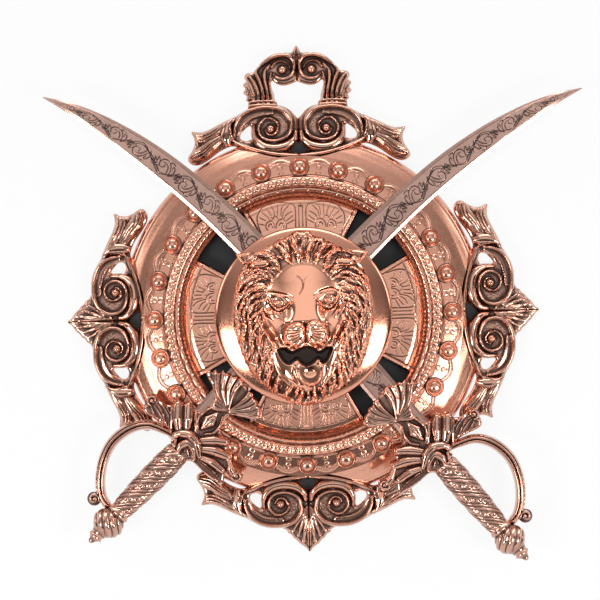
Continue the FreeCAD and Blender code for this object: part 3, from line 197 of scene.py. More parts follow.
def room():
    """Bright round the camera and overhead, dim to the sides."""
    world = bpy.data.worlds.new("studio")
    bpy.context.scene.world = world
    world.use_nodes = True
    tree = world.node_tree
    tree.nodes.clear()
    where = tree.nodes.new("ShaderNodeTexCoord").outputs["Generated"]
    way = build(tree, "ShaderNodeSeparateXYZ", Vector=where).outputs
    front = tree.nodes.new("ShaderNodeValToRGB")
    tree.links.new(maths(tree, "MULTIPLY", way["Y"], -1), front.inputs[0])
    ramp = front.color_ramp
    ramp.interpolation = "EASE"
    (place, shade), *between, (last_place, last_shade) = ROOM_SHADES
    for step, place, shade in ((ramp.elements[0], place, shade), (ramp.elements[1], last_place, last_shade)):
        step.position = place
        step.color = shade
    for place, shade in between:
        ramp.elements.new(place).color = shade
    sky = blend(tree, remap(tree, way["Z"], 0.25, 0.95, 0.0, 0.85), front.outputs[0], OVERHEAD)
    below = remap(tree, way["Z"], *BELOW_RISE, *BELOW_LIGHT, "SMOOTHSTEP")
    lamp = build(tree, "ShaderNodeBackground", Color=sky, Strength=below).outputs[0]
    white = build(tree, "ShaderNodeBackground", Color=PAPER).outputs[0]
    path = tree.nodes.new("ShaderNodeLightPath").outputs
    build(tree, "ShaderNodeOutputWorld", Surface=mix_shaders(tree, path["Is Camera Ray"], lamp, white))


def softbox(name, place, size, power):
    """A rectangular lamp that looks at the shield."""
    data = bpy.data.lights.new(name, "AREA")
    data.shape = "RECTANGLE"
    data.size, data.size_y = size
    data.energy = power
    lamp = bpy.data.objects.new(name, data)
    bpy.context.scene.collection.objects.link(lamp)
    lamp.location = place
    lamp.rotation_euler = (Vector((0, 0, 0)) - Vector(place)).to_track_quat("-Z", "Y").to_euler()
    return lamp


room()
softbox("top_box", (0.1, -0.45, 1.6), (1.6, 0.6), 11)
softbox("lower_left_box", (-0.95, -1.15, -0.45), (0.55, 0.5), 11)
softbox("lower_right_box", (0.95, -1.15, -0.45), (0.55, 0.5), 11)
softbox("left_box", (-1.6, -0.6, 0.6), (0.4, 0.9), 3.5)
softbox("right_box", (1.6, -0.6, 0.6), (0.4, 0.9), 3.5)


# %% [markdown]
# ## Lines and height maps
# Nearly all of this shield is relief: beads, scrolls, leaves and locks that stand up from a plate. Each is
# a stroke along a smooth line. A stroke has a half width, a rise and a cross-section, and all of them are
# laid into one height map, as a carver lays ridges into wax. The map is then cast as a closed mesh whose
# edge is drawn exactly to the outline. Sizes are millimetres: x to the right, z up, height off the wall.

# %%
# Smooth lines
LINE_STEPS = 12


def smooth(points, count):
    """Evenly spaced points on a smooth line through the given ones."""
    knots = np.array(points, float)
    if len(knots) == 2:
        return knots[0] + (knots[1] - knots[0]) * np.linspace(0, 1, count)[:, None]
    padded = np.vstack([2 * knots[0] - knots[1], knots, 2 * knots[-1] - knots[-2]])
    t = np.linspace(0, 1, LINE_STEPS, endpoint=False)[:, None]
    dense = []
    for a, b, c, d in zip(padded, padded[1:], padded[2:], padded[3:]):
        dense.append(0.5 * (2 * b + (c - a) * t + (2 * a - 5 * b + 4 * c - d) * t ** 2 + (3 * b - a - 3 * c
            + d) * t ** 3))
    dense = np.vstack(dense + [knots[-1:]])
    run = np.concatenate([[0], np.cumsum(np.hypot(*np.diff(dense, axis=0).T))])
    steps = np.linspace(0, run[-1], count)
    return np.column_stack([np.interp(steps, run, dense[:, k]) for k in range(2)])


def sided(points, side):
    """Points drawn on the right, kept there by side 1 or set on the left by side -1."""
    return [(side * x, z) for x, z in points]


def arc(centre, radius, start, end, count=24):
    """Points of an arc between two bearings in degrees, counted from +x towards +z."""
    turns = np.radians(np.linspace(start, end, count))
    return np.column_stack([centre[0] + radius * np.cos(turns), centre[1] + radius * np.sin(turns)])


def spiral(centre, start_radius, end_radius, start, turns, count=40):
    """A spiral that winds in from one radius to another; a negative number of turns winds the other way."""
    share = np.linspace(0, 1, count)
    radius = start_radius * (end_radius / start_radius) ** share
    angle = np.radians(start) + 2 * np.pi * turns * share
    return np.column_stack([centre[0] + radius * np.cos(angle), centre[1] + radius * np.sin(angle)])


def reach(x, z, line):
    """Distance of grid points to a line, their share along it, and the side that they are on."""
    best = np.full(x.shape, 1e9)
    share = np.zeros(x.shape)
    side = np.zeros(x.shape)
    spans = np.hypot(*np.diff(line, axis=0).T)
    total = max(spans.sum(), 1e-9)
    run = 0.0
    for (ax, az), (bx, bz), span in zip(line, line[1:], spans):
        ux, uz = bx - ax, bz - az
        t = np.clip(((x - ax) * ux + (z - az) * uz) / max(span * span, 1e-12), 0, 1)
        dx = x - ax - t * ux
        dz = z - az - t * uz
        away = dx * dx + dz * dz
        closer = away < best
        best = np.where(closer, away, best)
        share = np.where(closer, (run + t * span) / total, share)
        side = np.where(closer, np.sign(ux * dz - uz * dx), side)
        run += span
    return np.sqrt(best), share, side


def signed(x, z, outline):
    """Distance of grid points to a closed outline, negative inside it."""
    loop = np.vstack([outline, outline[:1]])
    away = reach(x, z, loop)[0]
    inside = np.zeros(x.shape, bool)
    for (ax, az), (bx, bz) in zip(loop, loop[1:]):
        if az == bz:
            continue
        crosses = (az > z) != (bz > z)
        inside ^= crosses & (x < (bx - ax) * (z - az) / (bz - az) + ax)
    return np.where(inside, -away, away)


# %%
# Strokes and the height map
FALL = 3.0


def soft_max(a, b, k):
    """The larger of two heights, with the crease between them filled."""
    if k <= 0:
        return np.maximum(a, b)
    h = np.clip(0.5 + 0.5 * (b - a) / k, 0, 1)
    return a * (1 - h) + b * h + k * h * (1 - h)


def form_round(q, side):
    return np.sqrt(np.clip(1 - q * q, 0, 1)) - FALL * np.clip(q - 1, 0, None)


def form_bell(q, side):
    return 0.5 + 0.5 * np.cos(np.pi * np.clip(q, 0, 1)) - FALL * np.clip(q - 1, 0, None)


def form_flat(q, side):
    return np.clip((1 - q) * 4, -9, 1)


def form_broad(q, side):
    """Nearly flat on top, with rounded flanks."""
    return np.sqrt(np.clip(1 - q ** 4, 0, 1)) - FALL * np.clip(q - 1, 0, None)


def form_hollow(q, side):
    """A trough between two rims."""
    return np.where(q < 0.85, 0.45 + 0.55 * (q / 0.85) ** 2, 1 - (q - 0.85) * 6)


def form_leaf(q, side):
    """A leaf that is hollow on both sides of its midrib."""
    rim = np.where(q < 0.82, 0.45 + 0.5 * (q / 0.82) ** 2, 0.95 - (q - 0.82) * 5)
    return np.maximum(rim, 1.0 - q * 2.6)


FORMS = {"round": form_round, "bell": form_bell, "flat": form_flat, "broad": form_broad,
    "hollow": form_hollow, "leaf": form_leaf}


class Relief:
    """A height map over a part of the shield."""

    def __init__(self, low, high, step, level):
        self.x, self.z = np.meshgrid(np.arange(low[0], high[0] + step, step),
            np.arange(low[1], high[1] + step, step))
        self.step = step
        self.height = np.full(self.x.shape, float(level))
        self.outside = np.full(self.x.shape, 1e3)

    def window(self, line, margin):
        """The part of the grid near a line."""
        low = line.min(0) - margin
        high = line.max(0) + margin
        columns = np.clip(((low[0] - self.x[0, 0]) / self.step, (high[0] - self.x[0, 0]) / self.step + 2), 0,
            self.x.shape[1]).astype(int)
        rows = np.clip(((low[1] - self.z[0, 0]) / self.step, (high[1] - self.z[0, 0]) / self.step + 2), 0,
            self.x.shape[0]).astype(int)
        return slice(*rows), slice(*columns)

    def stroke(self, points, half, rise, form="round", base=None, soft=0.3, count=0):
        """Lays a stroke: added to the relief, or, with a base, merged with it as a form of its own."""
        line = smooth(points, count or 5 * len(points) + 4)
        halves = np.atleast_1d(np.array(half, float))
        rises = np.atleast_1d(np.array(rise, float))
        spot = self.window(line, halves.max() * 1.4 + soft)
        if self.x[spot].size == 0:
            return
        away, share, side = reach(self.x[spot], self.z[spot], line)
        wide = np.interp(share, np.linspace(0, 1, len(halves)), halves)
        tall = np.interp(share, np.linspace(0, 1, len(rises)), rises)
        shape = FORMS[form](away / wide, side)
        if base is None:
            self.height[spot] += tall * np.clip(shape, 0, None)
            return
        bases = np.array(base, float)
        if bases.ndim == 2:
            floor = bases[spot]
        else:
            bases = np.atleast_1d(bases)
            floor = np.interp(share, np.linspace(0, 1, len(bases)), bases)
        raised = floor + np.where(shape > 0, tall * shape, 6 * shape)
        self.height[spot] = soft_max(self.height[spot], raised, soft)

    def engrave(self, points, half, depth, count=0):
        """Adds a soft line to the relief: a groove where its depth is below zero, else a swelling."""
        self.stroke(points, half, depth, "bell", count=count)

    def mass(self, centre, halves, rise, base=None, soft=2.0, form="round", lean=0.0):
        """An oval swelling, or an oval hollow where the rise is negative; base as for a stroke."""
        c, s = math.cos(math.radians(lean)), math.sin(math.radians(lean))
        dx, dz = self.x - centre[0], self.z - centre[1]
        q = np.hypot((dx * c + dz * s) / halves[0], (dz * c - dx * s) / halves[1])
        shape = FORMS[form](q, 0)
        if base is None:
            self.height += rise * np.clip(shape, 0, None)
            return
        raised = base + np.where(shape > 0, rise * shape, 6 * shape)
        self.height = soft_max(self.height, raised, soft)

    def dome(self, centre, radius, rise, base=None, soft=0.3, form="round"):
        """A round swelling."""
        spot = np.array([centre, centre], float) + [[0, 0], [1e-4, 0]]
        self.stroke(spot, radius, rise, form, base, soft, 2)

    def outline(self, loop):
        """Adds metal inside a closed line."""
        self.outside = np.minimum(self.outside, signed(self.x, self.z, np.array(loop)))

    def pierce(self, loop):
        """Takes the metal inside a closed line away."""
        self.outside = np.maximum(self.outside, -signed(self.x, self.z, np.array(loop)))

    def soften(self, rounds=1):
        """Rounds every crease a little, as plating does."""
        for _ in range(rounds):
            h = np.pad(self.height, 1, mode="edge")
            self.height = (h[1:-1, 1:-1] * 4 + h[:-2, 1:-1] + h[2:, 1:-1] + h[1:-1, :-2] + h[1:-1, 2:]) / 8


# %%
# Meshes from grids
def skin_faces(rows, columns, close_rows=False, close_columns=False):
    """Quads of a grid of points, which may close on itself either way."""
    i, j = np.meshgrid(np.arange(rows if close_rows else rows - 1),
        np.arange(columns if close_columns else columns - 1), indexing="ij")
    i, j = i.ravel(), j.ravel()
    i2, j2 = (i + 1) % rows, (j + 1) % columns
    return np.column_stack([i * columns + j, i * columns + j2, i2 * columns + j2, i2 * columns + j])


def to_metres(points):
    """Points given as x, z and height off the wall, as coordinates of the frame."""
    return np.column_stack([points[:, 0], -points[:, 2], points[:, 1]]) * MM


def upright(points):
    """The place of a form that is drawn where it stands."""
    return points


def on_bearing(bearing):
    """Turns a form drawn at the top of the shield to another bearing."""
    turn = math.radians(bearing - 90)
    c, s = math.cos(turn), math.sin(turn)

    def place(points):
        return np.column_stack([points[:, 0] * c - points[:, 1] * s, points[:, 0] * s + points[:, 1] * c,
            points[:, 2]])
    return place


def relief_share(mesh):
    """Writes how far each point stands out of its surroundings, from -1 in a hollow to 1 on a crest."""
    count = len(mesh.vertices)
    place = np.empty(count * 3)
    mesh.vertices.foreach_get("co", place)
    place = place.reshape(-1, 3) / MM
    edges = np.empty(len(mesh.edges) * 2, int)
    mesh.edges.foreach_get("vertices", edges)
    a, b = edges.reshape(-1, 2).T
    outward = np.empty(count * 3)
    mesh.vertices.foreach_get("normal", outward)
    outward = outward.reshape(-1, 3)
    degree = np.maximum(np.bincount(edges, minlength=count), 1)
    level = place.copy()
    total = np.zeros(count)
    done = 0
    for rounds, span in ((5, 0.28), (34, 1.3)):
        for _ in range(rounds - done):
            mean = np.column_stack([np.bincount(a, level[b, k], count) + np.bincount(b, level[a, k], count)
                for k in range(3)]) / degree[:, None]
            level = 0.35 * level + 0.65 * mean
        done = rounds
        total += np.clip(((place - level) * outward).sum(1) / span, -1, 1) * 0.6
    marks = mesh.attributes.new("relief", "FLOAT", "POINT")
    marks.data.foreach_set("value", np.clip(total, -1, 1).astype(np.float32))


SHARP_TURN = math.radians(50)


def piece(name, points, faces, material, nodes=(), slot="copper_casting", place=upright, sharp=SHARP_TURN):
    """A finished piece of the shield: a smooth mesh that rides on the shield's one body."""
    mesh = bpy.data.meshes.new(name)
    placed = to_metres(place(points))
    mesh.vertices.add(len(placed))
    mesh.vertices.foreach_set("co", placed.ravel())
    loops = np.concatenate([np.asarray(f).ravel() for f in faces]).astype(np.int32)
    sizes = np.concatenate([np.full(len(f), np.asarray(f).shape[1]) for f in faces])
    mesh.loops.add(len(loops))
    mesh.loops.foreach_set("vertex_index", loops)
    mesh.polygons.add(len(sizes))
    mesh.polygons.foreach_set("loop_start", np.concatenate([[0], np.cumsum(sizes)[:-1]]).astype(np.int32))
    mesh.update(calc_edges=True)
    tidy = bmesh.new()
    tidy.from_mesh(mesh)
    bmesh.ops.remove_doubles(tidy, verts=tidy.verts, dist=1e-7)
    bmesh.ops.recalc_face_normals(tidy, faces=tidy.faces)
    tidy.to_mesh(mesh)
    tidy.free()
    return dress(name, mesh, material, nodes, sharp)


def dress(name, mesh, material, nodes=(), sharp=SHARP_TURN):
    """Shades a mesh, marks its relief, and hands it to the frame in place of its solids."""
    mesh.polygons.foreach_set("use_smooth", np.ones(len(mesh.polygons), bool))
    mesh.set_sharp_from_angle(angle=sharp)
    relief_share(mesh)
    mesh.materials.clear()
    mesh.materials.append(material)
    made = bpy.data.objects.new(name, mesh)
    bpy.context.scene.collection.objects.link(made)
    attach(made, "root")
    if nodes:
        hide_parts(*nodes)
    triangles = sum(len(p.vertices) - 2 for p in mesh.polygons)
    print(name, triangles, "triangles")
    return made


def cast(relief, back, edge_radius):
    """Closes a height map into a solid: its front, a wall down from its outline, and a flat back."""
    depth = np.clip(-relief.outside, 0, edge_radius)
    drop = edge_radius - np.sqrt(edge_radius ** 2 - (edge_radius - depth) ** 2)
    height = np.maximum(relief.height - drop, back + 0.2)
    s = relief.outside
    keep = (s[:-1, :-1] + s[1:, :-1] + s[:-1, 1:] + s[1:, 1:]) < 0
    rows, columns = s.shape
    i, j = np.nonzero(keep)
    quads = np.column_stack([i * columns + j, i * columns + j + 1, (i + 1) * columns + j + 1,
        (i + 1) * columns + j])
    kept = np.zeros((rows + 1, columns + 1), bool)
    kept[1:-1, 1:-1] = keep
    border = []
    for di, dj, first, second in ((-1, 0, 0, 1), (0, 1, 1, 2), (1, 0, 2, 3), (0, -1, 3, 0)):
        open_side = ~kept[i + 1 + di, j + 1 + dj]
        border.append(quads[open_side][:, [first, second]])
    border = np.vstack(border)
    edge = np.zeros(rows * columns, bool)
    edge[border.ravel()] = True
    gz, gx = np.gradient(s, relief.step)
    steep = np.maximum(gx * gx + gz * gz, 0.25)
    pull = np.clip(s / steep, -relief.step, relief.step)
    x = relief.x - np.where(edge.reshape(s.shape), pull * gx, 0)
    z = relief.z - np.where(edge.reshape(s.shape), pull * gz, 0)
    top = np.column_stack([x.ravel(), z.ravel(), height.ravel()])
    used = np.unique(quads)
    number = np.full(rows * columns, -1)
    number[used] = np.arange(len(used))
    quads, border = number[quads], number[border]
    top = top[used]
    rim = np.unique(border)
    foot = np.full(len(top), -1)
    foot[rim] = len(top) + np.arange(len(rim))
    bottom = top[rim].copy()
    bottom[:, 2] = back
    points = np.vstack([top, bottom])
    walls = np.column_stack([border[:, 1], border[:, 0], foot[border[:, 0]], foot[border[:, 1]]])
    flat = bmesh.new()
    corners = {k: flat.verts.new((points[k, 0], points[k, 1], 0)) for k in foot[rim]}
    names = {v: k for k, v in corners.items()}
    loops = [flat.edges.new((corners[foot[a]], corners[foot[b]])) for a, b in border]
    filled = bmesh.ops.triangle_fill(flat, edges=loops, use_beauty=False, use_dissolve=False)
    floor = [[names[v] for v in f.verts] for f in filled["geom"] if isinstance(f, bmesh.types.BMFace)]
    flat.free()
    return points, [quads, walls, np.array(floor)]


def positions(made):
    """The points of a piece in millimetres: across, up, and out from the wall."""
    place = np.empty(len(made.data.vertices) * 3)
    made.data.vertices.foreach_get("co", place)
    place = place.reshape(-1, 3) / MM
    return place[:, 0], place[:, 2], -place[:, 1]


def ink(made, lines, share=0.10):
    """Marks engraved lines as dark over their whole width; lines gives their depth at the piece's points."""
    dark = np.clip(lines(*positions(made)), -1, 0.5)
    made.data.attributes["relief"].data.foreach_set("value", (dark + share).astype(np.float32))


# %% [markdown]
# ## Antiqued copper
# The castings were plated with copper, darkened, and rubbed back. So the crests are bright and smooth and
# the hollows keep a dark brown skin. Each mesh already says how far each point stands out; this finish
# mixes that with cloudy noise, and breaks it up with pores and fine rubbing marks. The same group of
# nodes serves every copper material, with its own values.

# %%
# Shared node groups
def group(name, inputs, outputs):
    """An empty shader group with named sockets."""
    tree = bpy.data.node_groups.new(name, "ShaderNodeTree")
    for label, kind, default in inputs:
        socket = tree.interface.new_socket(label, in_out="INPUT", socket_type=kind)
        if default is not None:
            socket.default_value = default
    for label, kind in outputs:
        tree.interface.new_socket(label, in_out="OUTPUT", socket_type=kind)
    return tree, tree.nodes.new("NodeGroupInput"), tree.nodes.new("NodeGroupOutput")


def noise(tree, vector, scale, detail, roughness=0.55, distortion=0.0):
    """Cloudy noise on a vector; gives a value from 0 to 1."""
    return build(tree, "ShaderNodeTexNoise", Vector=vector, Scale=scale, Detail=detail, Roughness=roughness,
        Distortion=distortion).outputs[0]


def rubbed_back_group():
    """Where the plating is bright, middling or dark, with how rough and how high it is there."""
    tree, given, made = group("rubbed_back", [("Vector", "NodeSocketVector", None),
        ("Relief", "NodeSocketFloat", 0.0), ("Bright", "NodeSocketColor", (0.85, 0.40, 0.26, 1)),
        ("Middle", "NodeSocketColor", (0.45, 0.17, 0.10, 1)), ("Dark", "NodeSocketColor",
        (0.05, 0.02, 0.013, 1)), ("Polish", "NodeSocketFloat", 0.2), ("Age", "NodeSocketFloat", 0.5),
        ("Pores", "NodeSocketFloat", 0.3)], [("Color", "NodeSocketColor"), ("Roughness", "NodeSocketFloat"),
        ("Height", "NodeSocketFloat"), ("Metallic", "NodeSocketFloat")])
    sockets = given.outputs

    def add(a, b, clamp=False):
        return maths(tree, "ADD", a, b, clamp)

    def less(a, b):
        return maths(tree, "SUBTRACT", a, b)

    def times(a, b):
        return maths(tree, "MULTIPLY", a, b)

    clouds = noise(tree, sockets["Vector"], 26.0, 5.0, 0.62, 0.6)
    grain = noise(tree, sockets["Vector"], 420.0, 4.0, 0.6)
    specks = noise(tree, sockets["Vector"], 900.0, 2.0, 0.5)
    stir = add(times(less(clouds, 0.5), 0.9), times(less(grain, 0.5), 0.55))
    level = less(add(sockets["Relief"], stir), less(sockets["Age"], 0.5))
    bright = remap(tree, level, -0.42, 0.14)
    dark = remap(tree, level, -0.26, -0.80)
    colour = blend(tree, bright, sockets["Middle"], sockets["Bright"])
    colour = blend(tree, dark, colour, sockets["Dark"])
    pore = times(remap(tree, specks, 0.36, 0.28), sockets["Pores"])
    colour = blend(tree, pore, colour, sockets["Dark"])
    rough = add(sockets["Polish"], times(dark, 0.34))
    rough = add(rough, times(less(1.0, bright), 0.10))
    rough = add(rough, times(less(grain, 0.5), 0.16), True)
    height = less(times(grain, 0.35), times(pore, 0.8))
    metal = remap(tree, dark, 0.0, 1.0, 1.0, 0.72)
    for label, value in (("Color", colour), ("Roughness", rough), ("Height", height), ("Metallic", metal)):
        tree.links.new(value, made.inputs[label])
    return tree


rubbed_back = rubbed_back_group()


# %%
# The copper materials
LACQUER = 0.6


def skin(tree, colour, rough, metallic, height, bump, depth, lacquer=0.0):
    """The metal surface of a finish, with its bumps and its lacquer."""
    dent = build(tree, "ShaderNodeBump", Strength=bump, Distance=depth, Height=height).outputs[0]
    metal = build(tree, "ShaderNodeBsdfPrincipled", Base_Color=colour, Roughness=rough, Metallic=metallic,
        Normal=dent, Coat_Weight=lacquer, Coat_Roughness=0.08).outputs[0]
    build(tree, "ShaderNodeOutputMaterial", Surface=metal)


def copper(name, bright, middle, dark, polish, age, pores, bump=0.12):
    """Plated and antiqued copper with its own tone."""
    material, tree = new_material(name)
    where = tree.nodes.new("ShaderNodeTexCoord").outputs["Object"]
    relief = tree.nodes.new("ShaderNodeAttribute")
    relief.attribute_name = "relief"
    age_nodes = tree.nodes.new("ShaderNodeGroup")
    age_nodes.node_tree = rubbed_back
    tree.links.new(where, age_nodes.inputs["Vector"])
    tree.links.new(relief.outputs["Fac"], age_nodes.inputs["Relief"])
    for label, value in (("Bright", (*bright, 1)), ("Middle", (*middle, 1)), ("Dark", (*dark, 1)),
            ("Polish", polish), ("Age", age), ("Pores", pores)):
        age_nodes.inputs[label].default_value = value
    aged = age_nodes.outputs
    skin(tree, aged["Color"], aged["Roughness"], aged["Metallic"], aged["Height"], bump, 0.00025, LACQUER)
    return material


cast_copper = copper("cast_copper", (0.62, 0.345, 0.25), (0.30, 0.145, 0.104), (0.066, 0.032, 0.023), 0.15,
    0.55, 0.25)
hilt_copper = copper("hilt_copper", (0.62, 0.34, 0.252), (0.22, 0.11, 0.08), (0.075, 0.037, 0.027), 0.15,
    0.68, 0.25)
dish_copper = copper("dish_copper", (0.76, 0.365, 0.25), (0.45, 0.20, 0.135), (0.06, 0.028, 0.020), 0.23,
    0.30, 0.6)
mask_copper = copper("mask_copper", (0.89, 0.415, 0.27), (0.37, 0.165, 0.113), (0.07, 0.032, 0.023), 0.13,
    0.50, 0.12, 0.06)
panel_copper = copper("panel_copper", (0.80, 0.40, 0.275), (0.46, 0.20, 0.135), (0.06, 0.028, 0.020), 0.20,
    0.46, 0.3)
boss_copper = copper("boss_copper", (0.78, 0.35, 0.23), (0.42, 0.175, 0.11), (0.06, 0.028, 0.020), 0.17, 0.35,
    0.3)
blade_copper = copper("blade_copper", (0.55, 0.335, 0.272), (0.29, 0.165, 0.13), (0.05, 0.020, 0.014), 0.28,
    0.50, 0.2)


def plain(name, colour, rough, metallic, speckle):
    """A plain finish for what shows only from behind: black paint or zinc, a little uneven."""
    material, tree = new_material(name)
    where = tree.nodes.new("ShaderNodeTexCoord").outputs["Object"]
    cloud = noise(tree, where, 60.0, 6.0, 0.6)
    low = tuple(c * (1 - speckle) for c in colour) + (1,)
    high = tuple(min(c * (1 + speckle), 1) for c in colour) + (1,)
    rough = remap(tree, cloud, 0.2, 0.8, rough - 0.08, rough + 0.08)
    skin(tree, blend(tree, cloud, low, high), rough, metallic, noise(tree, where, 900.0, 3.0), 0.2, 0.0002)
    return material


black_paint = plain("black_paint", (0.020, 0.020, 0.022), 0.42, 0.0, 0.35)
zinc_steel = plain("zinc_steel", (0.56, 0.56, 0.58), 0.34, 1.0, 0.12)
for name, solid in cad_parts.items():
    solid.data.materials.clear()
    solid.data.materials.append(black_paint if name == "backing_disc" else zinc_steel)


# %% [markdown]
# ## The dish
# The dish is a turned shell. Its band runs up in a shallow cone to a rounded ring of links, then steps
# down over a ring of leaf points to the field, where four panels of palmettes stand between the windows.
# Each zone is a grid that runs round the centre, so its rings are exact. The mounts sit in round bites of
# the rim, and the outer row of the band follows those bites.

# %%
# Sizes of the dish
DISH_RADIUS = 182.0
BITE_CENTRE = 281.1
BITE_RADIUS = 124.3
BAND_INNER = 139.5
LEAF_INNER = 119.0
FIELD_INNER = 68.0
WALL = 1.4
DISH_OUTLINE = [(68, 17), (112.5, 17), (114, 16.6), (116, 16.4), (118.2, 17.6), (119.4, 20.6), (120.8, 21.6),
    (122.2, 22.6), (124.5, 24.8), (126.6, 25.3), (127.6, 24.7), (128.4, 25.4), (129.4, 26.2), (131, 27.1),
    (133.2, 27.6), (136, 27.2), (138.3, 25.7), (139.3, 23.6), (140, 22.9), (141.5, 23), (150, 21.2),
    (160, 18.1), (168, 14.6), (174, 11.4), (176.4, 10), (177.6, 9.6), (179.4, 8.2), (180.8, 5.9), (181.9, 3)]


def dish_off(radius):
    """Height of the dish's front at a radius."""
    table = np.array(DISH_OUTLINE)
    return np.interp(radius, table[:, 0], table[:, 1])


def rim_radius(angle):
    """Where the band ends at an angle: at the rim, or at the bite for a mount."""
    lean = (angle + math.pi / 4) % (math.pi / 2) - math.pi / 4
    inside = BITE_RADIUS ** 2 - (BITE_CENTRE * np.sin(lean)) ** 2
    bite = BITE_CENTRE * np.cos(lean) - np.sqrt(np.clip(inside, 0, None))
    return np.where(inside > 0, np.minimum(bite, DISH_RADIUS), DISH_RADIUS)


def zone(name, inner, outer, steps, pitch, ornament, material, nodes=()):
    """A ring of the dish between two radii, closed round the back."""
    angle = 2 * np.pi * np.arange(steps) / steps
    ends = outer(angle) if callable(outer) else np.full(steps, float(outer))
    count = int((ends.max() - inner) / pitch) + 1
    share = np.linspace(0, 1, count)[:, None]
    radius = inner + (ends - inner) * share
    front = dish_off(radius)
    if ornament is not None:
        front = front + ornament(radius, angle[None, :] + 0 * radius)
    back_share = np.linspace(1, 0, 12)[:, None]
    back_radius = inner + (ends - inner) * back_share
    back = np.maximum(dish_off(back_radius) - WALL - 0.6, 1.2)
    radius = np.vstack([radius, back_radius])
    height = np.vstack([front, back])
    angle = angle + 0 * radius
    points = np.column_stack([(radius * np.sin(angle)).ravel(), (radius * np.cos(angle)).ravel(),
        height.ravel()])
    faces = skin_faces(len(radius), steps, close_rows=True, close_columns=True)
    return piece(name, points, [faces], material, nodes)


# %%
# The band, and the cartouches between its studs
STUD_COUNT = 24
STUD_CIRCLE = 148.7
BAND_BREAK = 160.0
CELL_HALF = math.pi * STUD_CIRCLE / STUD_COUNT


def cartouche():
    """One cell of the band, unrolled: across is arc length from midway between two studs, up is radius."""
    relief = Relief((-CELL_HALF, 138.5), (CELL_HALF, 161.0), 0.35, 0.0)
    bead = [(-12, 149), (-10.6, 152.6), (-8.6, 153.6), (-5, 155.6), (0, 156.4), (5, 155.6), (8.6, 153.6),
        (10.6, 152.6), (12, 149)]
    relief.engrave(bead, 1.2, 0.75)
    for shift in (-1.7, 1.7):
        relief.engrave([(x, z + shift) for x, z in bead], 0.75, -0.85)
    for centre, radius in (((0, 148.9), 2.3), ((0.2, 143.3), 2.5), ((-1.6, 152.7), 1.3), ((2.6, 152.5), 1.0)):
        relief.engrave(arc(centre, radius, 0, 360, 28), 0.55, -0.6)
        relief.dome(centre, radius * 0.8, 0.4)
    relief.engrave([(-CELL_HALF, 140.4), (0, 140.4), (CELL_HALF, 140.4)], 0.8, -0.8)
    return relief


def read(relief, x, z):
    """Heights of a relief at points inside its grid."""
    column = np.clip((x - relief.x[0, 0]) / relief.step, 0, relief.x.shape[1] - 1.01)
    row = np.clip((z - relief.z[0, 0]) / relief.step, 0, relief.x.shape[0] - 1.01)
    i, j = row.astype(int), column.astype(int)
    v, u = row - i, column - j
    h = relief.height
    return (h[i, j] * (1 - u) + h[i, j + 1] * u) * (1 - v) + (h[i + 1, j] * (1 - u) + h[i + 1, j + 1] * u) * v


cartouche_map = cartouche()


def stud_band(radius, angle):
    """The cartouches, repeated round the band, on a finely hammered ground."""
    cell = 2 * np.pi / STUD_COUNT
    across = (angle % cell - cell / 2) * STUD_CIRCLE
    lines = read(cartouche_map, across, radius)
    inside = np.exp(-((radius - 147.5) / 6.0) ** 4) * (np.abs(across) < 11)
    grain = 0.07 * np.sin(angle * 911 + 3 * np.sin(radius * 2.3)) * np.sin(radius * 5.1)
    return lines + grain * inside


def beaten(radius, angle):
    """The slow waviness of a hand-finished band."""
    return 0.10 * np.sin(5 * angle + 0.4) * np.sin(radius * 0.21) + 0.05 * np.sin(17 * angle) * np.cos(radius
        * 0.5)


def band_lines(x, z, off):
    """The band's drawing at points of the dish."""
    return 1.15 * stud_band(np.hypot(x, z), np.arctan2(x, z))


def band_cut(radius, angle):
    """The band's drawing as it is cut into the dish."""
    return 0.5 * stud_band(radius, angle)


ink(zone("dish_stud_band", BAND_INNER, BAND_BREAK, 1800, 0.55, band_cut, dish_copper, ["shield_dish"]),
    band_lines)
zone("dish_band", BAND_BREAK - 0.05, rim_radius, 720, 0.9, beaten, dish_copper)

# %% [markdown]
# ## The rings of links and leaf points
# Inside the band runs a rounded ring with small engraved loops, and from it a row of pointed leaf tips
# hangs over the next step. Both repeat exactly round the ring, so they are written as a rule of the angle.

# %%
# Rings
LINK_COUNT = 104
TIP_COUNT = 54
RING_STEPS = 1440
RING_PITCH = 0.62


def saw(angle, count):
    """Where an angle lies within its repeat, from -0.5 to 0.5."""
    return (angle * count / (2 * np.pi)) % 1 - 0.5


def links(radius, angle):
    """Engraved open loops, each as two arcs of a groove."""
    across = saw(angle, LINK_COUNT) * 2 * np.pi * 134.5 / LINK_COUNT
    up = radius - 134.2
    loop = np.hypot(across + 0.6, up * 0.85)
    groove = np.exp(-((loop - 2.3) / 0.55) ** 2) * (across < 1.9)
    dot = np.exp(-((across - 3.0) ** 2 + (up + 1.6) ** 2) / 0.9)
    return -0.75 * groove + 0.25 * dot


def leaf_tips(radius, angle):
    """Small tips that point to the centre, with a sunk line under them."""
    spot = np.abs(saw(angle, TIP_COUNT)) * 2
    tip = 127.2 + 1.6 * spot ** 0.7
    rise = 0.85 / (1 + np.exp(-(radius - tip) * 3.2))
    fall = 1 / (1 + np.exp((radius - 130.6) * 2.6))
    vein = 0.3 * np.exp(-(spot / 0.12) ** 2) * (radius < 131)
    flutes = 0.16 * np.sin(saw(angle, TIP_COUNT * 3) * 2 * np.pi) * np.exp(-((radius - 123.6) / 1.8) ** 2)
    return (rise * fall - vein * fall) + flutes


def ring_ornament(radius, angle):
    return links(radius, angle) * (radius > 130.4) + leaf_tips(radius, angle)


zone("dish_rings", LEAF_INNER, BAND_INNER, RING_STEPS, RING_PITCH, ring_ornament, dish_copper)

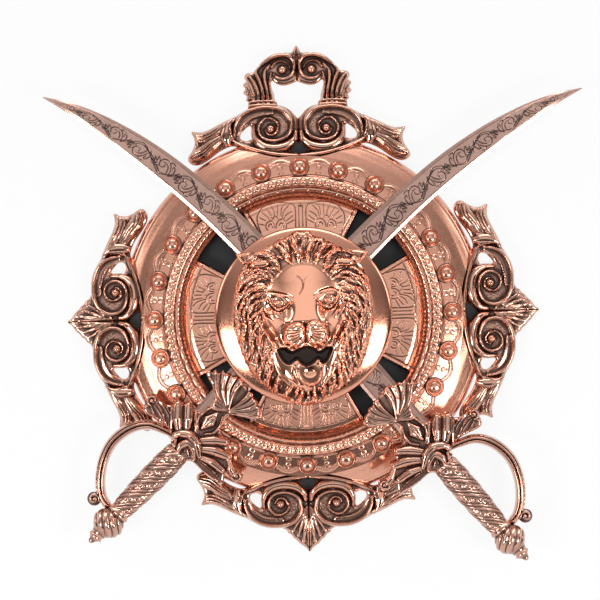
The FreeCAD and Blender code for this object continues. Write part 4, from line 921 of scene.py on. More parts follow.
# %% [markdown]
# ## The palmette panels
# The field has four panels of two palmettes each. One panel is drawn as a relief on its own small polar
# grid and set down four times. A palmette is a fan of rays from a curled base, under an arch.

# %%
# One panel
PANEL_HALF = math.radians(29.3)
PANEL_STEPS = 300
PANEL_ROWS = 132
ARCH = [(5.4, 84), (5.2, 96), (5.4, 107), (8, 111.8), (16, 113.6), (26, 113.6), (33, 112), (39.4, 107.6),
    (43.2, 101), (43.4, 94), (40.6, 84)]
RAYS = [[(5.9, 96.1), (13.2, 92.2)], [(8, 99.9), (14, 95.2)], [(8.9, 104.2), (14, 101.2), (16.6, 97.4)],
    [(11.5, 110.6), (16.6, 104.7), (18.8, 96.9)], [(15.8, 112), (18.8, 108.1), (19.8, 100.2)],
    [(22.9, 111.8), (23.1, 100.6)], [(30, 111.4), (27, 105.5), (26, 100)], [(35, 108.6), (30.4, 102.1),
    (28.3, 96.9)], [(38.8, 103.8), (33, 99), (31, 96.6)], [(41, 98.7), (35.4, 95.6)],
    [(41.8, 92.4), (36.6, 91.2)]]
CURLS = [[(14.9, 87.6), (14.2, 92.6), (17.1, 96.2), (21.4, 96.1), (24, 92.6), (24.8, 88.2)],
    [(17.1, 88.4), (17.9, 92), (20.3, 92.8), (21.8, 90.5)], [(26.1, 88.2), (27, 93.1), (30, 95.4),
    (33.9, 93.2), (35.1, 89.2), (33.4, 86.2)], [(28.2, 88.4), (29.2, 91.6), (31.3, 92), (32.4, 89.2)]]
PANEL_TOP = 112.6
FLOOR_RADII = (68.0, 112.0, 119.1)


def palmette(relief):
    """The right-hand palmette: an arch, rays that rise like a fountain, two hooks and a bud."""
    relief.engrave(ARCH, 0.75, -0.7)
    for ray in RAYS:
        relief.engrave(ray, [0.45, 0.62, 0.5], -0.6)
    for curl in CURLS:
        relief.engrave(curl, 0.62, -0.65)
    relief.engrave(arc((25.2, 97.4), 2.3, -10, 190, 18), 0.55, -0.6)


def panel_relief():
    """The ornament of one panel, on a square grid that the panels read."""
    relief = Relief((-56, 62), (56, 119), 0.35, 0.0)
    palmette(relief)
    right = relief.height.copy()
    relief.height = right + right[:, ::-1]
    for x in (-1.9, 1.9):
        relief.engrave([(x, 72), (x, 108.5)], 0.6, -0.7)
    relief.dome((0, 112.2), 3.6, 1.0, form="bell")
    return relief


panel_map = panel_relief()


# %%
# Four panels round the field
def panel(name, bearing):
    """One quarter of the field, with a raised bevel along the windows."""
    turn = np.linspace(-PANEL_HALF, PANEL_HALF, PANEL_STEPS)[None, :]
    radius = np.linspace(FIELD_INNER, LEAF_INNER + 0.1, PANEL_ROWS)[:, None]
    x, z = radius * np.sin(turn), radius * np.cos(turn)
    base = dish_off(radius + 0 * turn)
    inside = np.clip((PANEL_TOP - radius) / 1.2, 0, 1)
    side = radius * np.sin(PANEL_HALF - np.abs(turn))
    bevel = 1.4 * np.exp(-((side - 1.6) / 1.3) ** 2) - 0.8 * np.exp(-((side - 4.6) / 0.6) ** 2)
    high = base + (0.45 * read(panel_map, x, z) * np.clip((side - 4.0) / 1.5, 0, 1) + 0.5) * inside + bevel
    high = high - 2.2 * np.clip(1 - side / 1.0, 0, 1)
    floor = np.array(FLOOR_RADII)[:, None]
    top = np.column_stack([x.ravel(), z.ravel(), high.ravel()])
    bottom = np.column_stack([(floor * np.sin(turn)).ravel(), (floor * np.cos(turn)).ravel(),
        (dish_off(floor + 0 * turn) - 2.4).ravel()])
    grid = np.arange(x.size).reshape(x.shape)
    under = x.size + np.arange(len(bottom)).reshape(len(floor), -1)
    faces = [skin_faces(*x.shape), skin_faces(*under.shape)]
    for upper, lower in ((grid[0], under[0]), (grid[-1], under[-1])):
        faces.append(np.column_stack([upper[:-1], upper[1:], lower[1:], lower[:-1]]))
    for column in (0, -1):
        faces.append(np.concatenate([grid[:, column], under[::-1, column]])[None, :])
    made = piece(name, np.vstack([top, bottom]), faces, panel_copper, place=on_bearing(bearing))
    ink(made, lambda x, z, off: panel_lines(x, z, math.radians(bearing)))
    return made


def panel_lines(x, z, bearing):
    """The panel's drawing and the groove of its bevel at points of the dish."""
    across, up = x * math.sin(bearing) - z * math.cos(bearing), x * math.cos(bearing) + z * math.sin(bearing)
    side = np.hypot(across, up) * np.sin(PANEL_HALF - np.abs(np.arctan2(across, up)))
    groove = -0.8 * np.exp(-((side - 4.6) / 0.6) ** 2)
    return 1.5 * read(panel_map, across, up) * np.clip((side - 4.0) / 1.5, 0, 1) + groove


for name, bearing in (("panel_top", 90), ("panel_left", 180), ("panel_bottom", 270), ("panel_right", 0)):
    panel(name, bearing)


# %% [markdown]
# ## Turned pieces
# The boss, the backing disc and the studs are turned shapes. A profile runs from the axis round the
# outside and back to the axis. The studs are all one shape, so a small geometry node tree sets one on
# each of their places.

# %%
# Lathe
def lathe(profile, steps):
    """A closed turned body: its profile is a list of (radius, height) that starts and ends on the axis."""
    rings = np.array(profile[1:-1], float)
    angle = 2 * np.pi * np.arange(steps) / steps
    walls = np.column_stack([(rings[:, :1] * np.cos(angle)).ravel(), (rings[:, :1] * np.sin(angle)).ravel(),
        np.repeat(rings[:, 1], steps)])
    points = np.vstack([walls, [[0, 0, profile[0][1]], [0, 0, profile[-1][1]]]])
    first = np.arange(steps)
    last = first + (len(rings) - 1) * steps
    after = np.roll(first, -1)
    top = np.column_stack([np.full(steps, len(walls)), after, first])
    bottom = np.column_stack([np.full(steps, len(walls) + 1), last, np.roll(last, -1)])
    return points, [skin_faces(len(rings), steps, close_columns=True), top, bottom]


def rounded(profile, count):
    """The same profile with its bends smoothed."""
    return [tuple(p) for p in smooth(profile, count)]


# %%
# Boss and backing disc
BOSS_BACK = 33.2
boss_front = rounded([(0, 46.7), (20, 46.7), (60, 46.7), (66, 46.6), (70, 46), (76, 44), (82, 41.7),
    (86.2, 39.6), (87.9, 37.6), (88.5, 34)], 140)
boss_line = [(0, 46.7)] + boss_front[1:] + [(88.3, BOSS_BACK), (85.5, BOSS_BACK)]
boss_line += [(84, 37), (80, 40), (73, 42.6), (20, 43.6), (0, 43.6)]
piece("boss", *lathe(boss_line, 256), boss_copper, ["lion_boss"])
DISC_RADIUS = 177.0
DISC_THICK = 3.0
disc_line = [(0, DISC_THICK)] + [(r, DISC_THICK) for r in np.linspace(4, 175.6, 30)]
disc_line += [(176.4, 2.8), (176.9, 2.2), (DISC_RADIUS, 1.5), (176.9, 0.8), (176.4, 0.2)]
disc_line += [(r, 0.0) for r in np.linspace(175.6, 4, 30)] + [(0, 0)]


piece("disc", *lathe(disc_line, 192), black_paint, ["backing_disc"], slot="black_paint")


# %%
# One stud, and a tree that sets it on every place
STUD_PROFILE = rounded([(0, 6.6), (2.4, 6.35), (4.4, 5.4), (5.9, 3.9), (6.6, 2.2), (6.9, 1), (7.3, 0.9),
    (7.9, 1.6), (8.8, 2.2), (9.7, 1.6), (10.1, 0.3), (10.2, -1.2)], 46) + [(0, -1.2)]


def loose(name, points, faces, material):
    """A mesh object that isn't in the scene, for a tree to use."""
    mesh = bpy.data.meshes.new(name)
    mesh.from_pydata((to_metres(points)).tolist(), [], [list(map(int, f)) for group in faces for f in group])
    mesh.polygons.foreach_set("use_smooth", np.ones(len(mesh.polygons), bool))
    mesh.update()
    mesh.materials.append(material)
    return bpy.data.objects.new(name, mesh)


def repeat_tree(name):
    """A tree that sets a given object on every point, turned by the point's own rotation."""
    tree = bpy.data.node_groups.new(name, "GeometryNodeTree")
    for label, kind in (("Places", "NodeSocketGeometry"), ("Shape", "NodeSocketObject"),
            ("Finish", "NodeSocketMaterial"), ("Scale", "NodeSocketFloat")):
        tree.interface.new_socket(label, in_out="INPUT", socket_type=kind)
    tree.interface.new_socket("Result", in_out="OUTPUT", socket_type="NodeSocketGeometry")
    given, made = tree.nodes.new("NodeGroupInput").outputs, tree.nodes.new("NodeGroupOutput")
    shape = build(tree, "GeometryNodeObjectInfo", Object=given["Shape"])
    turn = tree.nodes.new("GeometryNodeInputNamedAttribute")
    turn.data_type = "FLOAT_VECTOR"
    turn.inputs["Name"].default_value = "turn"
    spread = build(tree, "GeometryNodeInstanceOnPoints", Points=given["Places"],
        Instance=shape.outputs["Geometry"], Rotation=turn.outputs["Attribute"], Scale=given["Scale"])
    real = build(tree, "GeometryNodeRealizeInstances", Geometry=spread.outputs[0])
    paint = build(tree, "GeometryNodeSetMaterial", Geometry=real.outputs[0], Material=given["Finish"])
    tree.links.new(paint.outputs[0], made.inputs["Result"])
    return tree


def repeated(name, places, turns, shape, material, nodes, scale=1.0):
    """One shape set on many places as a single piece."""
    mesh = bpy.data.meshes.new(name + "_places")
    mesh.from_pydata(to_metres(np.array(places, float)).tolist(), [], [])
    marks = mesh.attributes.new("turn", "FLOAT_VECTOR", "POINT")
    marks.data.foreach_set("vector", np.array(turns, float).ravel())
    carrier = bpy.data.objects.new(name + "_places", mesh)
    bpy.context.scene.collection.objects.link(carrier)
    tree = repeat_tree(name + "_tree")
    spread = carrier.modifiers.new("spread", "NODES")
    spread.node_group = tree
    socket = {item.name: item.identifier for item in tree.interface.items_tree if item.in_out == "INPUT"}
    spread[socket["Shape"]] = shape
    spread[socket["Finish"]] = material
    spread[socket["Scale"]] = scale
    bpy.context.view_layer.update()
    graph = bpy.context.evaluated_depsgraph_get()
    made = bpy.data.meshes.new_from_object(carrier.evaluated_get(graph))
    made.name = name
    carrier.modifiers.remove(spread)
    bpy.data.objects.remove(carrier)
    return dress(name, made, material, nodes)


BAND_LEAN = math.atan2(23.0 - 18.0, 160.0 - 139.5)
stud = loose("stud", *lathe(STUD_PROFILE, 48), dish_copper)
stud_turns = 2 * np.pi * np.arange(STUD_COUNT) / STUD_COUNT
stud_places = [(STUD_CIRCLE * math.sin(t), STUD_CIRCLE * math.cos(t),
    dish_off(STUD_CIRCLE)) for t in stud_turns]
stud_leans = [Vector((math.sin(t) * math.sin(BAND_LEAN), -math.cos(BAND_LEAN),
    math.cos(t) * math.sin(BAND_LEAN))) .to_track_quat("-Y", "Z").to_euler() for t in stud_turns]
repeated("studs", stud_places, [list(lean) for lean in stud_leans], stud, dish_copper, ["rim_studs"])
bpy.data.objects.remove(stud)


# %% [markdown]
# ## Scroll mounts
# Each mount is a pair of volutes held between a beaded lip and leafy tails. Only the right half is drawn:
# the left half is its reflection. The same drawing serves all four; three of them also carry a fluted fan.
# Coordinates are those of the mount at the top of the shield.

# %%
# One mount
MOUNT_STEP = 0.6
MOUNT_BACK = 3.0
PLATE_LEVEL = 6.6
LIP_EDGE = 3.6


def fold(relief):
    """Copies the right half of a drawing to its left half."""
    right = relief.x >= 0
    relief.height = np.where(right, relief.height, relief.height[:, ::-1])
    relief.outside = np.where(right, relief.outside, relief.outside[:, ::-1])


def stipple(relief, loop, deep, seed, pitch=1.7):
    """Punches small dots into the ground inside a loop."""
    dice = np.random.default_rng(seed)
    inside = signed(relief.x, relief.z, np.array(loop))
    low, high = np.min(loop, axis=0), np.max(loop, axis=0)
    across, up = np.meshgrid(np.arange(low[0], high[0], pitch), np.arange(low[1], high[1], pitch * 0.86))
    across[1::2] += pitch / 2
    for x, z in np.column_stack([across.ravel(), up.ravel()]):
        x, z = x + dice.uniform(-0.2, 0.2), z + dice.uniform(-0.2, 0.2)
        spot = relief.window(np.array([[x, z]]), 1.2)
        away = np.hypot(relief.x[spot] - x, relief.z[spot] - z)
        relief.height[spot] -= deep * np.exp(-(away / 0.55) ** 2) * (inside[spot] < -0.8)


def volute(relief):
    """The scroll itself: belly, cove, rim that winds in, and the ball at its eye."""
    belly = [(2.5, 184), (4.5, 177), (12, 171), (23, 168.6), (34, 170.2), (41.5, 175.5), (45.2, 183),
        (44.5, 192)]
    relief.stroke(belly, [3, 4.8, 5.6, 5.8, 5.6, 5, 3.6, 1.5], [6, 9, 9.6, 9.6, 9.4, 8.5, 7, 4],
        base=[5.5, 5.5], soft=0.6)
    cove = [(61.5, 184), (58.5, 194), (49.5, 202), (37, 204.6), (27, 204.6)]
    relief.stroke(cove, [2.5, 4.5, 5, 3.8, 2.5], [2, 2.2, 2.2, 2, 1.8], "hollow", base=[7.2, 7.6], soft=0.8)
    rim = [(64.5, 182), (62.4, 193), (55.5, 202.8), (44, 208.4), (30, 209.8), (16, 206.4), (8.6, 198.4),
        (7, 189.5), (10.4, 181.6), (18, 177.2), (27.5, 176.2), (35.8, 179.4), (39.8, 186.2), (38.4, 193.6),
        (32.4, 198.6), (25.2, 197.6), (20.6, 192.8), (20.6, 187)]
    relief.stroke(rim, [1.3, 1.9, 2.1, 2.3, 2.4, 2.5, 2.5, 2.4, 2.2, 2, 1.9, 1.8, 1.8, 1.7, 1.6, 1.5, 1.3, 1],
        [5, 5.2, 5.4, 5.6, 5.6, 5.6, 5.4, 5.2, 4.8, 4.4, 4, 3.8, 3.8, 3.8, 3.6, 3.4, 3, 2.4],
        base=[8.8, 9.4, 9.6, 9.6, 9.0, 8.6], soft=0.35, count=110)
    relief.stroke([(20.8, 188.5), (22.4, 184.6), (26.6, 182), (31.5, 183.4), (33.6, 187.8)],
        [1.4, 1.5, 1.3, 0.8], [2.6, 2.8, 2.4, 1.4], base=8.0)
    relief.dome((28, 188.2), 4.3, 6.2, base=7.4)


def leafy_tail(relief):
    """The strap over the rim's foot and the two hooked leaves beyond it."""
    leaves = [([(64, 198), (76, 191.4), (87, 184.2), (97, 180.4), (106.5, 181.6)], [2.2, 5, 6.4, 6.4, 4.4],
        [6, 7.6, 7.8, 6.8, 4.6]), ([(66, 180.5), (78, 179.4), (89, 172.2), (98, 165), (108, 162.4)],
        [3, 5.6, 7.2, 7.4, 4.8], [5, 6.6, 7.4, 7.2, 5])]
    for line, halves, rises in leaves:
        relief.stroke(line, halves, rises, base=[5.0, 5.6, 4.4])
        for shift in (-2.6, 2.4):
            run = [(x, z + shift * (0.4 + 0.15 * k)) for k, (x, z) in enumerate(line[1:])]
            relief.engrave(run, [0.6, 1.3, 1.3, 0.7], [-0.6, -1.7, -1.7, -0.8])
    strap = [(66, 199), (70.6, 192.5), (72.4, 184), (71.6, 176), (70, 171)]
    relief.stroke(strap, [1.6, 5, 6.8, 6.2, 3], [5.2, 7.2, 7.8, 7.2, 4.8], base=6.6)
    relief.stroke([(69.5, 196), (67.2, 184), (65.4, 176)], [0.8, 1.1, 0.8], [3, 4, 3], base=9.0)


def fan(relief, top):
    """Flutes that spread from behind the rims."""
    root = np.array((0.0, 190.0))
    corner, tip = np.array((26.5, 210.0)), np.array((0.0, top))
    count = 5
    for k in range(count):
        share = k / (count - 0.5)
        end = tip + (corner - tip) * share
        end = end + (end - root) / np.linalg.norm(end - root) * (-2.2 * math.sin(math.pi * share))
        middle = root + (end - root) * 0.62 + np.array((share * 2.0, share * 1.5))
        wide = 3.9 * (1 - 0.25 * share)
        relief.stroke([root, middle, end], [0.8, wide * 0.9, wide * 0.72, 0.7], [4.2, 6.8, 6, 2.6],
            base=[5.4, 5.8, 4.4], soft=0.2)
        relief.engrave([middle, end], [0.7, 0.3], -0.6)


def mount_drawing(with_fan):
    """The whole mount as a height map."""
    relief = Relief((-121.2, 145.2), (121.2, 241.2), MOUNT_STEP, PLATE_LEVEL)
    if with_fan:
        fan(relief, 236.0)
    volute(relief)
    leafy_tail(relief)
    lip = [(0, 160.6), (16, 161.4), (34, 164.6), (50, 169.6), (61.5, 174.6), (66.5, 178.2)]
    relief.stroke(lip, [3.2, 3.1, 2.9, 2.7, 2.2, 1.2], [7.2, 7.2, 7, 6.6, 5.6, 4], base=[9.0, 8.6])
    channel = [(12, 184), (11, 196), (20, 204), (34, 205), (40, 201), (44, 192), (41, 180), (36, 176),
        (22, 175)]
    stipple(relief, channel, 0.7, 4)
    body = [(0, 198.4), (3.2, 201.6), (8.6, 207.4), (17, 211.4), (30, 212.4), (44, 211.2), (57, 205.4),
        (63, 201.4), (70, 199), (80, 193.8), (90, 189), (99, 186.8), (107.4, 187.2), (105, 181),
        (104.6, 174.6), (107.4, 168), (111.6, 161), (110.4, 156.4), (105.6, 153.6), (99, 154.2), (90, 159.2),
        (82, 165), (75, 169), (66, 171.6), (58, 169.2), (46, 164), (32, 159.8), (16, 157.6), (0, 157)]
    relief.outline(smooth(body, 260))
    if with_fan:
        edge = [(0, 190)] + [tuple(p) for p in smooth([(0, 237.4), (3.4, 233), (6.8, 230.4), (9.6, 228.4),
            (12.4, 225), (15.4, 223), (18, 219.4), (21, 217.6), (23, 214.2), (27.8, 211.6), (24, 206)], 60)]
        relief.outline(edge)
    relief.pierce(smooth([(47.4, 178.6), (52, 176.8), (57.6, 178.4), (57.8, 183.6), (53.2, 188.6),
        (48.4, 191.6), (47.8, 186), (47.4, 178.6)], 50))
    relief.pierce([(-0.8, 174.6), (2.2, 172.4), (8.6, 166.6), (5.6, 164.4), (-0.8, 164)])
    fold(relief)
    relief.soften(1)
    return relief


for with_fan, places in ((False, (("scroll_top", 90, "scroll_mount_top"),)),
        (True, (("scroll_left", 180, "scroll_mount_left"), ("scroll_bottom", 270, "scroll_mount_bottom"),
        ("scroll_right", 0, "scroll_mount_right")))):
    drawing = cast(mount_drawing(with_fan), MOUNT_BACK, LIP_EDGE)
    for name, bearing, node in places:
        piece(name, *drawing, cast_copper, [node], place=on_bearing(bearing))


# %% [markdown]
# ## Hanging loop
# The loop stands on the top mount: two fluted acanthus legs, a crown of two small scrolls and a leaf.

# %%
# Loop
LOOP_BACK = 0.5
LOOP_LEVEL = 4.6


def loop_drawing():
    """The loop as a height map."""
    relief = Relief((-60, 205.2), (60, 276), 0.5, LOOP_LEVEL)
    flutes = [([(44.5, 214), (44, 222), (47, 232), (50.5, 239)], [2.2, 2.8, 3.4, 1.6], 5.6),
        ([(39.5, 214), (39.5, 224), (43.5, 235), (49, 242.4)], [2, 2.6, 3, 1.2], 6.6),
        ([(34.5, 214), (35, 226), (38.5, 238), (41, 246), (36.5, 251.5)], [2, 2.4, 2.6, 2.4, 1.2], 7.4),
        ([(29.5, 214), (30.5, 226), (32.5, 237), (32, 246), (27, 252.5)], [2, 2.2, 2.4, 2.4, 1.4], 7.0),
        ([(25, 214), (26.5, 225), (27.2, 236), (26, 244)], [1.6, 1.9, 2.2, 1.2], 5.8)]
    for line, halves, rise in flutes:
        relief.stroke(line, halves, [rise * 0.8, rise, rise, rise * 0.8], base=3.6, soft=0.25)
        relief.engrave(line, 0.45, -0.5)
    for x, z, lean in ((47.5, 232.5, 20), (48.5, 226.0, -8), (46.8, 220.5, -25)):
        tip = (x + 6.0 * math.cos(math.radians(lean)), z + 6.0 * math.sin(math.radians(lean)))
        relief.stroke([(x - 4, z - 1.5), (x + 1, z), tip], [1.6, 2.6, 0.6], [4.5, 5.4, 3], "leaf", base=3.4)
    relief.stroke([(36, 252.5), (27, 259), (17, 262.2), (8.5, 260.8), (3.6, 255.4), (2.6, 248.6),
        (5.4, 242.6), (11.4, 238.6), (18.6, 239), (23.6, 243.4)], [1.8, 3, 3.2, 3, 2.4, 2, 1.8, 1.6, 1.4,
        0.9], [5.5, 6.4, 6.8, 6.6, 6, 5.4, 5, 4.6, 4, 3], base=5.6, count=70)
    relief.stroke([(26, 250), (20.8, 254.8), (13.4, 255.6), (7.8, 251.4), (6.9, 245.6)],
        [1, 1.2, 1.1, 0.9, 0.6], [3.2, 3.8, 3.6, 3, 2], base=5.4)
    relief.dome((14.6, 247.2), 4.4, 5.6, base=5.4)
    relief.stroke([(0, 252), (0, 262), (0, 271)], [1.6, 3.4, 2, 0.5], [5.5, 8, 6.4, 3.2], "leaf", base=4.8,
        soft=0.2)
    relief.stroke([(1.5, 253), (5.4, 260), (11.4, 264)], [1.4, 2.6, 0.7], [5, 7, 3.4], "leaf", base=4.8,
        soft=0.2)
    for z, half in ((211.6, 2), (215.4, 1.5)):
        relief.stroke([(20.0, z), (34, z + 0.8), (49.5, z)], half, 3.6, base=6.0)
    outer = [(0, 272.4), (2.6, 268.4), (4.4, 265), (8, 264.6), (12.4, 265.2), (12.6, 263.2), (18, 263.8),
        (27, 261.2), (34, 256.4), (40.4, 249.6), (43.4, 246), (50.8, 244.6), (53, 240.4), (51.6, 236.6),
        (54.6, 233), (52.4, 229.6), (54.4, 224.8), (51, 221.8), (51.8, 217.4), (49.6, 215.6), (50.2, 209)]
    inner = [(19.8, 209), (20.4, 214), (22.6, 216.6), (23.6, 224), (26.4, 232.6), (25, 236.6), (20, 233),
        (13.6, 231.4), (6.6, 232.8), (0, 235.6)]
    relief.outline(np.vstack([smooth(outer, 90), smooth(inner, 50)]))
    fold(relief)
    relief.soften(1)
    return relief


piece("loop", *cast(loop_drawing(), LOOP_BACK, 3.2), cast_copper, ["hanging_loop"])


# %% [markdown]
# ## Lion mask
# The mask is one height map too. The head is a low dome that falls off to the edge of the mane, and large
# oval masses on it make the face. The hair follows a rule that says which way it lies at each point: waved
# locks run that way in rings, from the edge of the mane to the face. Curls, ears and the smooth side locks
# are laid on top, and then come the eyes, whisker pads, lips and canines.

# %%
# Masses of the head
SEAT = 46.7
MASK_BACK = 45.6
MASK_STEP = 0.55
MASK_TOP = 92.6
MANE_EDGE = [(0, 84), (8, 83.5), (13, 79), (20, 77), (28, 72.5), (40, 66), (50, 60.5), (57, 52), (62, 42),
    (66, 28), (68, 10), (68.5, -6), (66, -18), (63, -32), (57.5, -46), (50, -58), (40, -69), (28, -77),
    (15, -84), (4, -88)]
FACE_EDGE = [(0, 55), (12, 53.5), (22, 47), (32, 36), (38.5, 26), (42, 10), (42.5, -4), (39, -20), (35, -34),
    (30, -50), (21, -63), (9, -71), (0, -72)]
CROWN_SHARES = [0, 0.5, 0.66, 0.80, 0.90, 0.97, 1.03]
CROWN_RISES = [29, 28, 26.6, 23.6, 19.6, 14.8, 9]
BRIDGE_LEVELS = [56, 44, 32, 23, 14, 4, -4, -14]
BRIDGE_HALVES = [52, 48, 42, 26, 16, 16.5, 21, 24]


def around(points):
    """The radius of a half outline, as a function of the bearing from straight up, to either side."""
    loop = smooth(points, 200)
    bearing = np.arctan2(loop[:, 0], loop[:, 1])
    order = np.argsort(bearing)
    radius = np.hypot(*loop.T)
    return lambda turn: np.interp(np.abs(turn), bearing[order], radius[order])


mane_reach = around(MANE_EDGE)
face_reach = around(FACE_EDGE)


def polar(radius, turn):
    """A point of the mask by its radius and its bearing from straight up."""
    return np.array([radius * math.sin(turn), radius * math.cos(turn)])


def head_masses(relief):
    """The crown, the plate of the face, and the large forms on it."""
    turn = np.arctan2(relief.x, relief.z)
    share = np.hypot(relief.x, relief.z) / mane_reach(turn)
    relief.height = SEAT + np.interp(share, CROWN_SHARES, CROWN_RISES)
    relief.mass((0, 0), (47, 66), 5.5, SEAT + 24.5, 3.0, "broad")
    relief.mass((1, 32), (38, 27), 4.4, SEAT + 28.0, 7.0)
    for side in (-1, 1):
        relief.mass((side * 26 + 0.5, 9.0), (15.5, 12.5), -5.6, form="bell", lean=-side * 6)
        relief.mass((side * 32 + 0.5, -13), (12.5, 21), 5.6, SEAT + 26.6, 4.0, lean=side * 10)
    down = np.interp(relief.z, *smooth(list(zip(BRIDGE_LEVELS[::-1], BRIDGE_HALVES[::-1])), 90).T)
    round_off = np.interp(relief.z, [8, 34], [0.0016, 0.0058])
    plate = SEAT + 36.4 - 0.135 * relief.z - round_off * (relief.x - 1.8) ** 2
    across = np.clip((1.18 - np.abs(relief.x - 2.0) / down) / 0.62, 0, 1)
    along = np.clip((66 - relief.z) / 8, 0, 1) * np.clip((relief.z + 11) / 7, 0, 1)
    share = across * across * (3 - 2 * across) * along * along * (3 - 2 * along)
    relief.height += (plate - relief.height) * share
    relief.mass((2, -17), (26, 16), 7.0, SEAT + 28.0, 4.0)
    relief.mass((2, -56), (23, 20), 11.0, SEAT + 18.0, 4.0, "broad")


# %%
# Hair
LEAN_TURNS = [0, 22, 45, 65, 95, 120, 150, 180]
ROOT_LEANS = [0, -4, 10, 44, 66, 62, 36, 0]
TIP_LEANS = [0, 62, 84, 88, 88, 76, 42, 0]
LOCK_RINGS = [(0.90, 15), (0.74, 17), (0.58, 19), (0.42, 20), (0.26, 20), (0.10, 19), (-0.07, 17)]


def heading(x, z):
    """The way the hair lies at a point."""
    turn = math.atan2(abs(x), z)
    low, high = face_reach(turn), mane_reach(turn)
    share = min(max((math.hypot(x, z) - low) / (high - low), 0.0), 1.0)
    root, tip = [np.interp(math.degrees(turn), LEAN_TURNS, leans) for leans in (ROOT_LEANS, TIP_LEANS)]
    way = turn + math.radians(root + (tip - root) * share ** 0.8)
    return np.array([math.copysign(math.sin(way), x), math.cos(way)]), share


def lock_line(start, length, wave, phase):
    """A lock's midline: it follows the way the hair lies, and waves a little."""
    spot = np.array(start, float)
    line = [spot.copy()]
    for step in range(int(length / 2)):
        way, share = heading(*spot)
        across = np.array([-way[1], way[0]])
        spot = spot + 2.0 * way + across * wave * math.cos(phase + step * 0.75)
        if share > 0.995:
            break
        line.append(spot.copy())
    return line


def beside(line, shift):
    """A line that runs beside another."""
    run = np.array(line)
    way = np.gradient(run, axis=0)
    way /= np.hypot(*way.T)[:, None]
    return run + shift * np.column_stack([-way[:, 1], way[:, 0]])


def mane(relief):
    """Waved locks in rings, from the edge of the mane to the face, each with its engraved strands."""
    dice = np.random.default_rng(11)
    relief.height -= 1.2
    for level, count in LOCK_RINGS:
        ground = relief.height.copy()
        for k in range(count):
            for side in (-1, 1):
                turn = math.pi * (k + 0.5 + dice.uniform(-0.28, 0.28)) / count
                low, high = face_reach(turn), mane_reach(turn)
                start = polar(low + (high - low) * (level + dice.uniform(-0.06, 0.06)), side * turn)
                line = lock_line(start, dice.uniform(18, 27), dice.uniform(0.25, 0.6), dice.uniform(0, 6.28))
                if len(line) < 4:
                    continue
                wide, tall = dice.uniform(2.4, 3.4), dice.uniform(2.0, 3.1)
                relief.stroke(line, [0.9, wide, wide, wide * 0.7, 0.5], [0.8, tall, tall, tall * 0.8, 0.8],
                    base=ground + 0.3, soft=0.25, count=16)
                for share in (-0.42, 0.05, 0.48):
                    relief.engrave(beside(line, share * wide), [0.25, 0.42, 0.42, 0.3],
                        [-0.3, -0.75, -0.75, -0.3], count=16)


def hairline(relief):
    """Short locks that rise from the hairline round the brow."""
    ground = relief.height.copy()
    for k in range(15):
        turn = math.radians(-98 + 14 * k)
        radius = face_reach(turn)
        lean = 0.10 * math.copysign(1, turn) if k != 7 else 0.0
        line = [polar(radius - 3.0, turn - lean * 0.5), polar(radius + 3.0, turn + lean * 0.1),
            polar(radius + 9.0, turn + lean * 1.4)]
        relief.stroke(line, [0.5, 2, 1], [0.8, 2.4, 1.6], base=ground + 0.2)
        relief.engrave(line, 0.45, [-0.2, -0.9, -0.4])


def curl(relief, centre, size, start, turns, rise, base):
    """One curled tip."""
    relief.stroke(spiral(centre, size, size * 0.24, start, turns), [size * 0.42, size * 0.36, size * 0.26],
        [rise, rise * 0.9, rise * 0.8], base=base, soft=0.25)


def top_tuft(relief):
    """The forelock, its bow of curls, the ears and the smooth side locks."""
    for x in (-12.5, -8.4, -4.2, 0.0, 4.2, 8.4, 12.5):
        lean = x * 0.20
        line = [(x * 0.78, 55.0), (x, 62), (x + lean, 70.0)]
        relief.stroke(line, [1.5, 2.3, 1], [3, 4.2, 2.6], base=SEAT + 23.5 - abs(x) * 0.05)
        relief.engrave(line, 0.45, [-0.3, -1.1, -0.5])
    relief.mass((0.5, 77.5), (11.5, 6), 4.5, SEAT + 18.0, 0.6)
    for side in (-1, 1):
        relief.stroke(sided([(1, 79.5), (5.5, 82), (10, 78.5), (8, 74.4)], side), [1.2, 2, 1.9, 1.2],
            [2.6, 3.8, 3.6, 2.4], base=SEAT + 18.6)
        relief.stroke(sided([(0.8, 75.6), (4.4, 77.4), (6.6, 74.8)], side), [0.9, 1.5, 0.8], [2, 3, 1.8],
            base=SEAT + 20.6)
        curl(relief, (side * 17.0 - 1.5, 72.5), 5.6, 90 - side * 110, -side * 1.2, 4.4, SEAT + 19.6)
        curl(relief, (side * 27.0, 68.5), 4.0, 90 - side * 100, -side * 1.0, 3.6, SEAT + 17.6)
        ear = sided([(32, 55.6), (43, 58), (54, 60.2), (64.8, 62)], side)
        relief.stroke(ear, [3.2, 5.4, 4.4, 0.9], [4.4, 4.4, 3.6, 1.4], "flat", base=[SEAT + 19.4, SEAT + 17.0,
            SEAT + 9.4, SEAT + 2.0], soft=0.4)
        relief.mass((side * 41.0, 52.0), (9.8, 3.7), 3.6, SEAT + 23.4, 0.4, "broad", lean=-side * 6)
        rim = sided([(30.4, 50.6), (34.6, 56.2), (42.4, 57), (49.6, 55.2), (52.2, 50.6)], side)
        relief.engrave(rim, [0.5, 0.7, 0.7, 0.7, 0.5], -2.0)
        relief.stroke(sided([(64.4, 61), (58.8, 56), (55, 50.8)], side), [0.5, 1.2, 0.9], [1.2, 3, 2.4],
            base=[SEAT + 2.4, SEAT + 7.4, SEAT + 12.0])
        strip = sided([(60.5, 42), (64, 28), (65.8, 12), (65.8, -4), (64.4, -13)], side)
        relief.stroke(strip, [0.8, 2.2, 2.8, 2.6, 1.4], [3, 6.2, 7.2, 6.8, 4.6], base=SEAT + 13.4, soft=0.2)
        curl(relief, (side * 63.0, -16.0), 3.6, 90 - side * 90, side * 1.1, 4.6, SEAT + 15.0)


